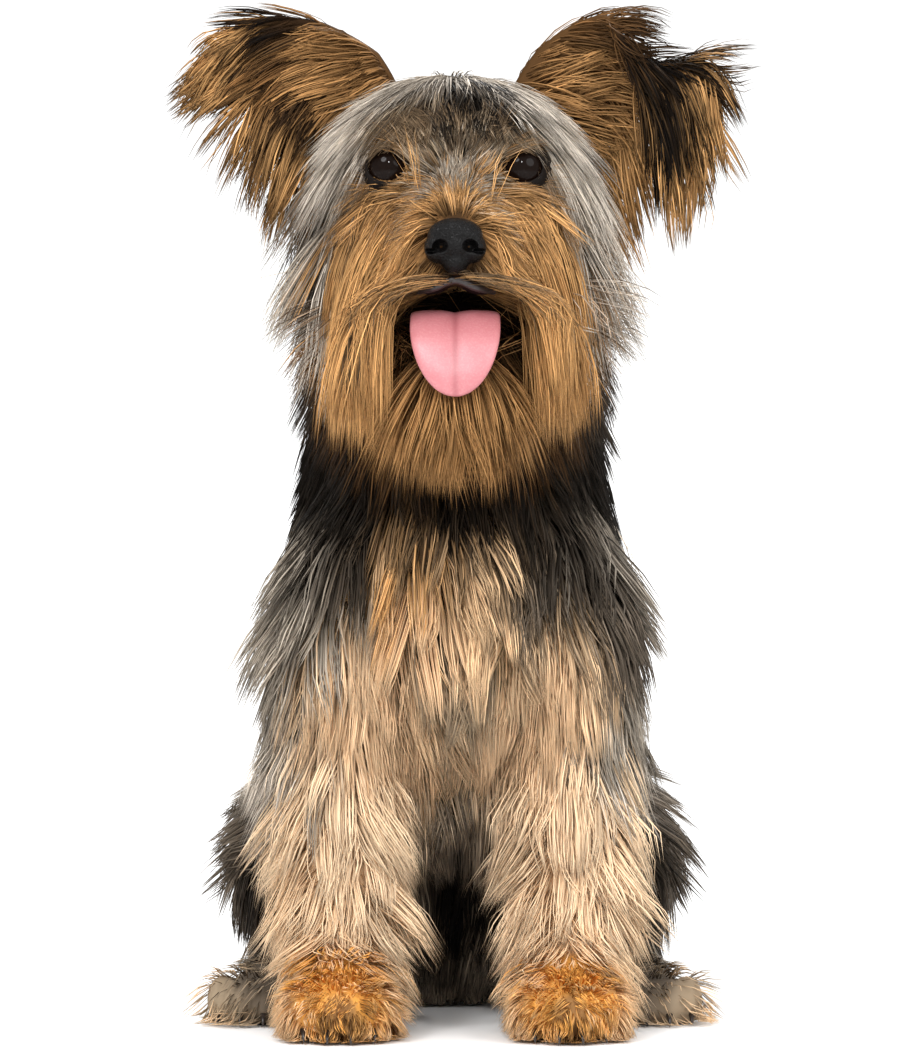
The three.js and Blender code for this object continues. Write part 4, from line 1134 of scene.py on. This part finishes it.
hair = hairFinish("hair")
coats = {}
for part, traits in hairLook.items():
    look = dict(zip(hairTraits, traits))
    for region in [part + "Left", part + "Right"] if part in pairedParts else [part]:
        ground = earGrounds.get(region, skinGround)
        coats[region] = hairMesh(region + "Coat", growHair(region, look, ground))
        coats[region].data.materials.append(hair)
        print("coat", region, len(coats[region].data.polygons))

# Markings of the skin and of the ears' leather: the same tones as the coat's roots, darkened as painted
# shade beneath the hair
underFinish = hairFinish("undercoat", 0.8)
underShade = {"skin": 0.9, "leather": 0.5}
for ground in [skinGround, *earGrounds.values()]:
    tone = ground.notes.shares(ground.points, growth["toneSharpness"]) @ ground.notes.root
    tone = tone * underShade["skin" if ground is skinGround else "leather"]
    if ground is skinGround:
        # the skin inside the open mouth runs to near black: dark gums and painted shade inside the mouth
        inMouth = np.linalg.norm((ground.points - np.array([0, -38, 238])) / np.array([24, 30, 12]), axis=1)
        dark = np.clip((1.15 - inMouth) / 0.3, 0, 1)[:, None]
        tone = tone * (1 - dark) + np.array(faceLook["mouthGumsAndShade"]) * dark
    colour = np.concatenate([tone, np.ones((len(tone), 1))], axis=1)
    attribute = ground.piece.data.color_attributes.new("tone", "FLOAT_COLOR", "POINT")
    attribute.data.foreach_set("color", colour.ravel())
    finishPiece(ground.piece, underFinish)

# What each piece rides on and stands for
fleshNodes = ["head", "muzzle", "lower_jaw", "neck", "torso", "tail"]
for part in ("foreleg", "forepaw", "thigh", "hindpaw"):
    fleshNodes += [part + "_left", part + "_right"]
standsFor = [
    (skin, "steel_coat", fleshNodes),
    (ears["left"], "ear_coat", ["ear_left"]),
    (ears["right"], "ear_coat", ["ear_right"]),
    (eyes["left"], "eye", ["eye_left"]),
    (eyes["right"], "eye", ["eye_right"]),
    (eyes["lidleft"], "head_coat", []),
    (eyes["lidright"], "head_coat", []),
    (nose, "nose_leather", ["nose"]),
    (tongue, "tongue", ["tongue"]),
    (lips, "nose_leather", []),
    (claws, "nose_leather", []),
]
coatSlots = {
    "gold_coat": ["moustache", "beard", "lip", "bridge"],
    "head_coat": ["crown", "cheek", "faceSide", "brow"],
    "black_coat": ["neck", "tail"],
    "cream_coat": ["forelegLeft", "forelegRight", "chest"],
    "paw_coat": ["pawLeft", "pawRight", "hindPawLeft", "hindPawRight"],
    "ear_coat": ["earLeft", "earRight"],
    "steel_coat": ["side", "back", "haunchLeft", "haunchRight"],
}
for slot, regions in coatSlots.items():
    standsFor += [(coats[region], slot, []) for region in regions]
for piece, slot, nodes in standsFor:
    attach(piece, "root")
    if nodes:
        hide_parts(*nodes)

# Floor, light and camera
floorLook = {"size": 12, "sweepFrom": 0.6, "sweepRadius": 2.0, "colour": (0.97, 0.97, 0.97)}
clearSelection()
bpy.ops.mesh.primitive_grid_add(x_subdivisions=8, y_subdivisions=160, size=floorLook["size"])


def coved(points):
    # flat under the dog, then swept up behind it
    start, radius = floorLook["sweepFrom"], floorLook["sweepRadius"]
    past = np.maximum(points[:, 1] - start, 0)
    arc = radius - np.sqrt(np.maximum(radius**2 - past**2, 0))
    up = np.where(past < radius, arc, radius + (past - radius) * 2)
    return np.stack([points[:, 0], np.minimum(points[:, 1], start + radius), up], axis=1)


floor = shaped(bpy.context.object, coved)
floor.name = "floor"
finishPiece(floor, plainFinish("floor", floorLook["colour"], 0.9, Specular_IOR_Level=0.0).material)
floor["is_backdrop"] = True

world = bpy.data.worlds.new("studio")
bpy.context.scene.world = world
world.use_nodes = True
background = world.node_tree.nodes["Background"]
background.inputs["Color"].default_value = (1, 1, 1, 1)
background.inputs["Strength"].default_value = 1.0

lamps = {
    "keyLight": {"at": (-0.55, -1.3, 1.25), "size": 0.6, "power": 16},
    "fillLight": {"at": (0.9, -1.2, 0.9), "size": 0.9, "power": 9},
    "catchLight": {"at": (0.02, -1.5, 0.95), "size": 0.1, "power": 6},
    "backLight": {"at": (0.2, 1.3, 1.2), "size": 0.8, "power": 10},
}
for name, lamp in lamps.items():
    lampData = bpy.data.lights.new(name, "AREA")
    lampData.energy = lamp["power"]
    lampData.shape = "DISK"
    lampData.size = lamp["size"]
    light = bpy.data.objects.new(name, lampData)
    light.location = lamp["at"]
    light.rotation_euler = (Vector((0, 0, 0.18)) - light.location).to_track_quat("-Z", "Y").to_euler()
    bpy.context.collection.objects.link(light)

# The view of the photo: pixels, and millimetres for the rest
photo = {
    "width": 900,
    "height": 1060,
    "middleColumn": 455,
    "distance": 1600,
    "eyeHeight": 169,
    "perPixel": 0.335,
}
cameraData = bpy.data.cameras.new("camera")
camera = bpy.data.objects.new("camera", cameraData)
bpy.context.collection.objects.link(camera)
aside = (photo["width"] / 2 - photo["middleColumn"]) * photo["perPixel"]
camera.location = inFrame((aside, -photo["distance"], photo["eyeHeight"]))
camera.rotation_euler = (math.pi / 2, 0, 0)
cameraData.sensor_width = 36
cameraData.lens = 36 * photo["distance"] / (photo["height"] * photo["perPixel"])
cameraData.clip_end = 20
bpy.context.scene.camera = camera
bpy.context.scene.view_settings.view_transform = "Standard"

boxes = {"solids": solidBox, "looks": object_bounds()}
boxes = {key: [list(map(float, corner)) for corner in box] for key, box in boxes.items()}
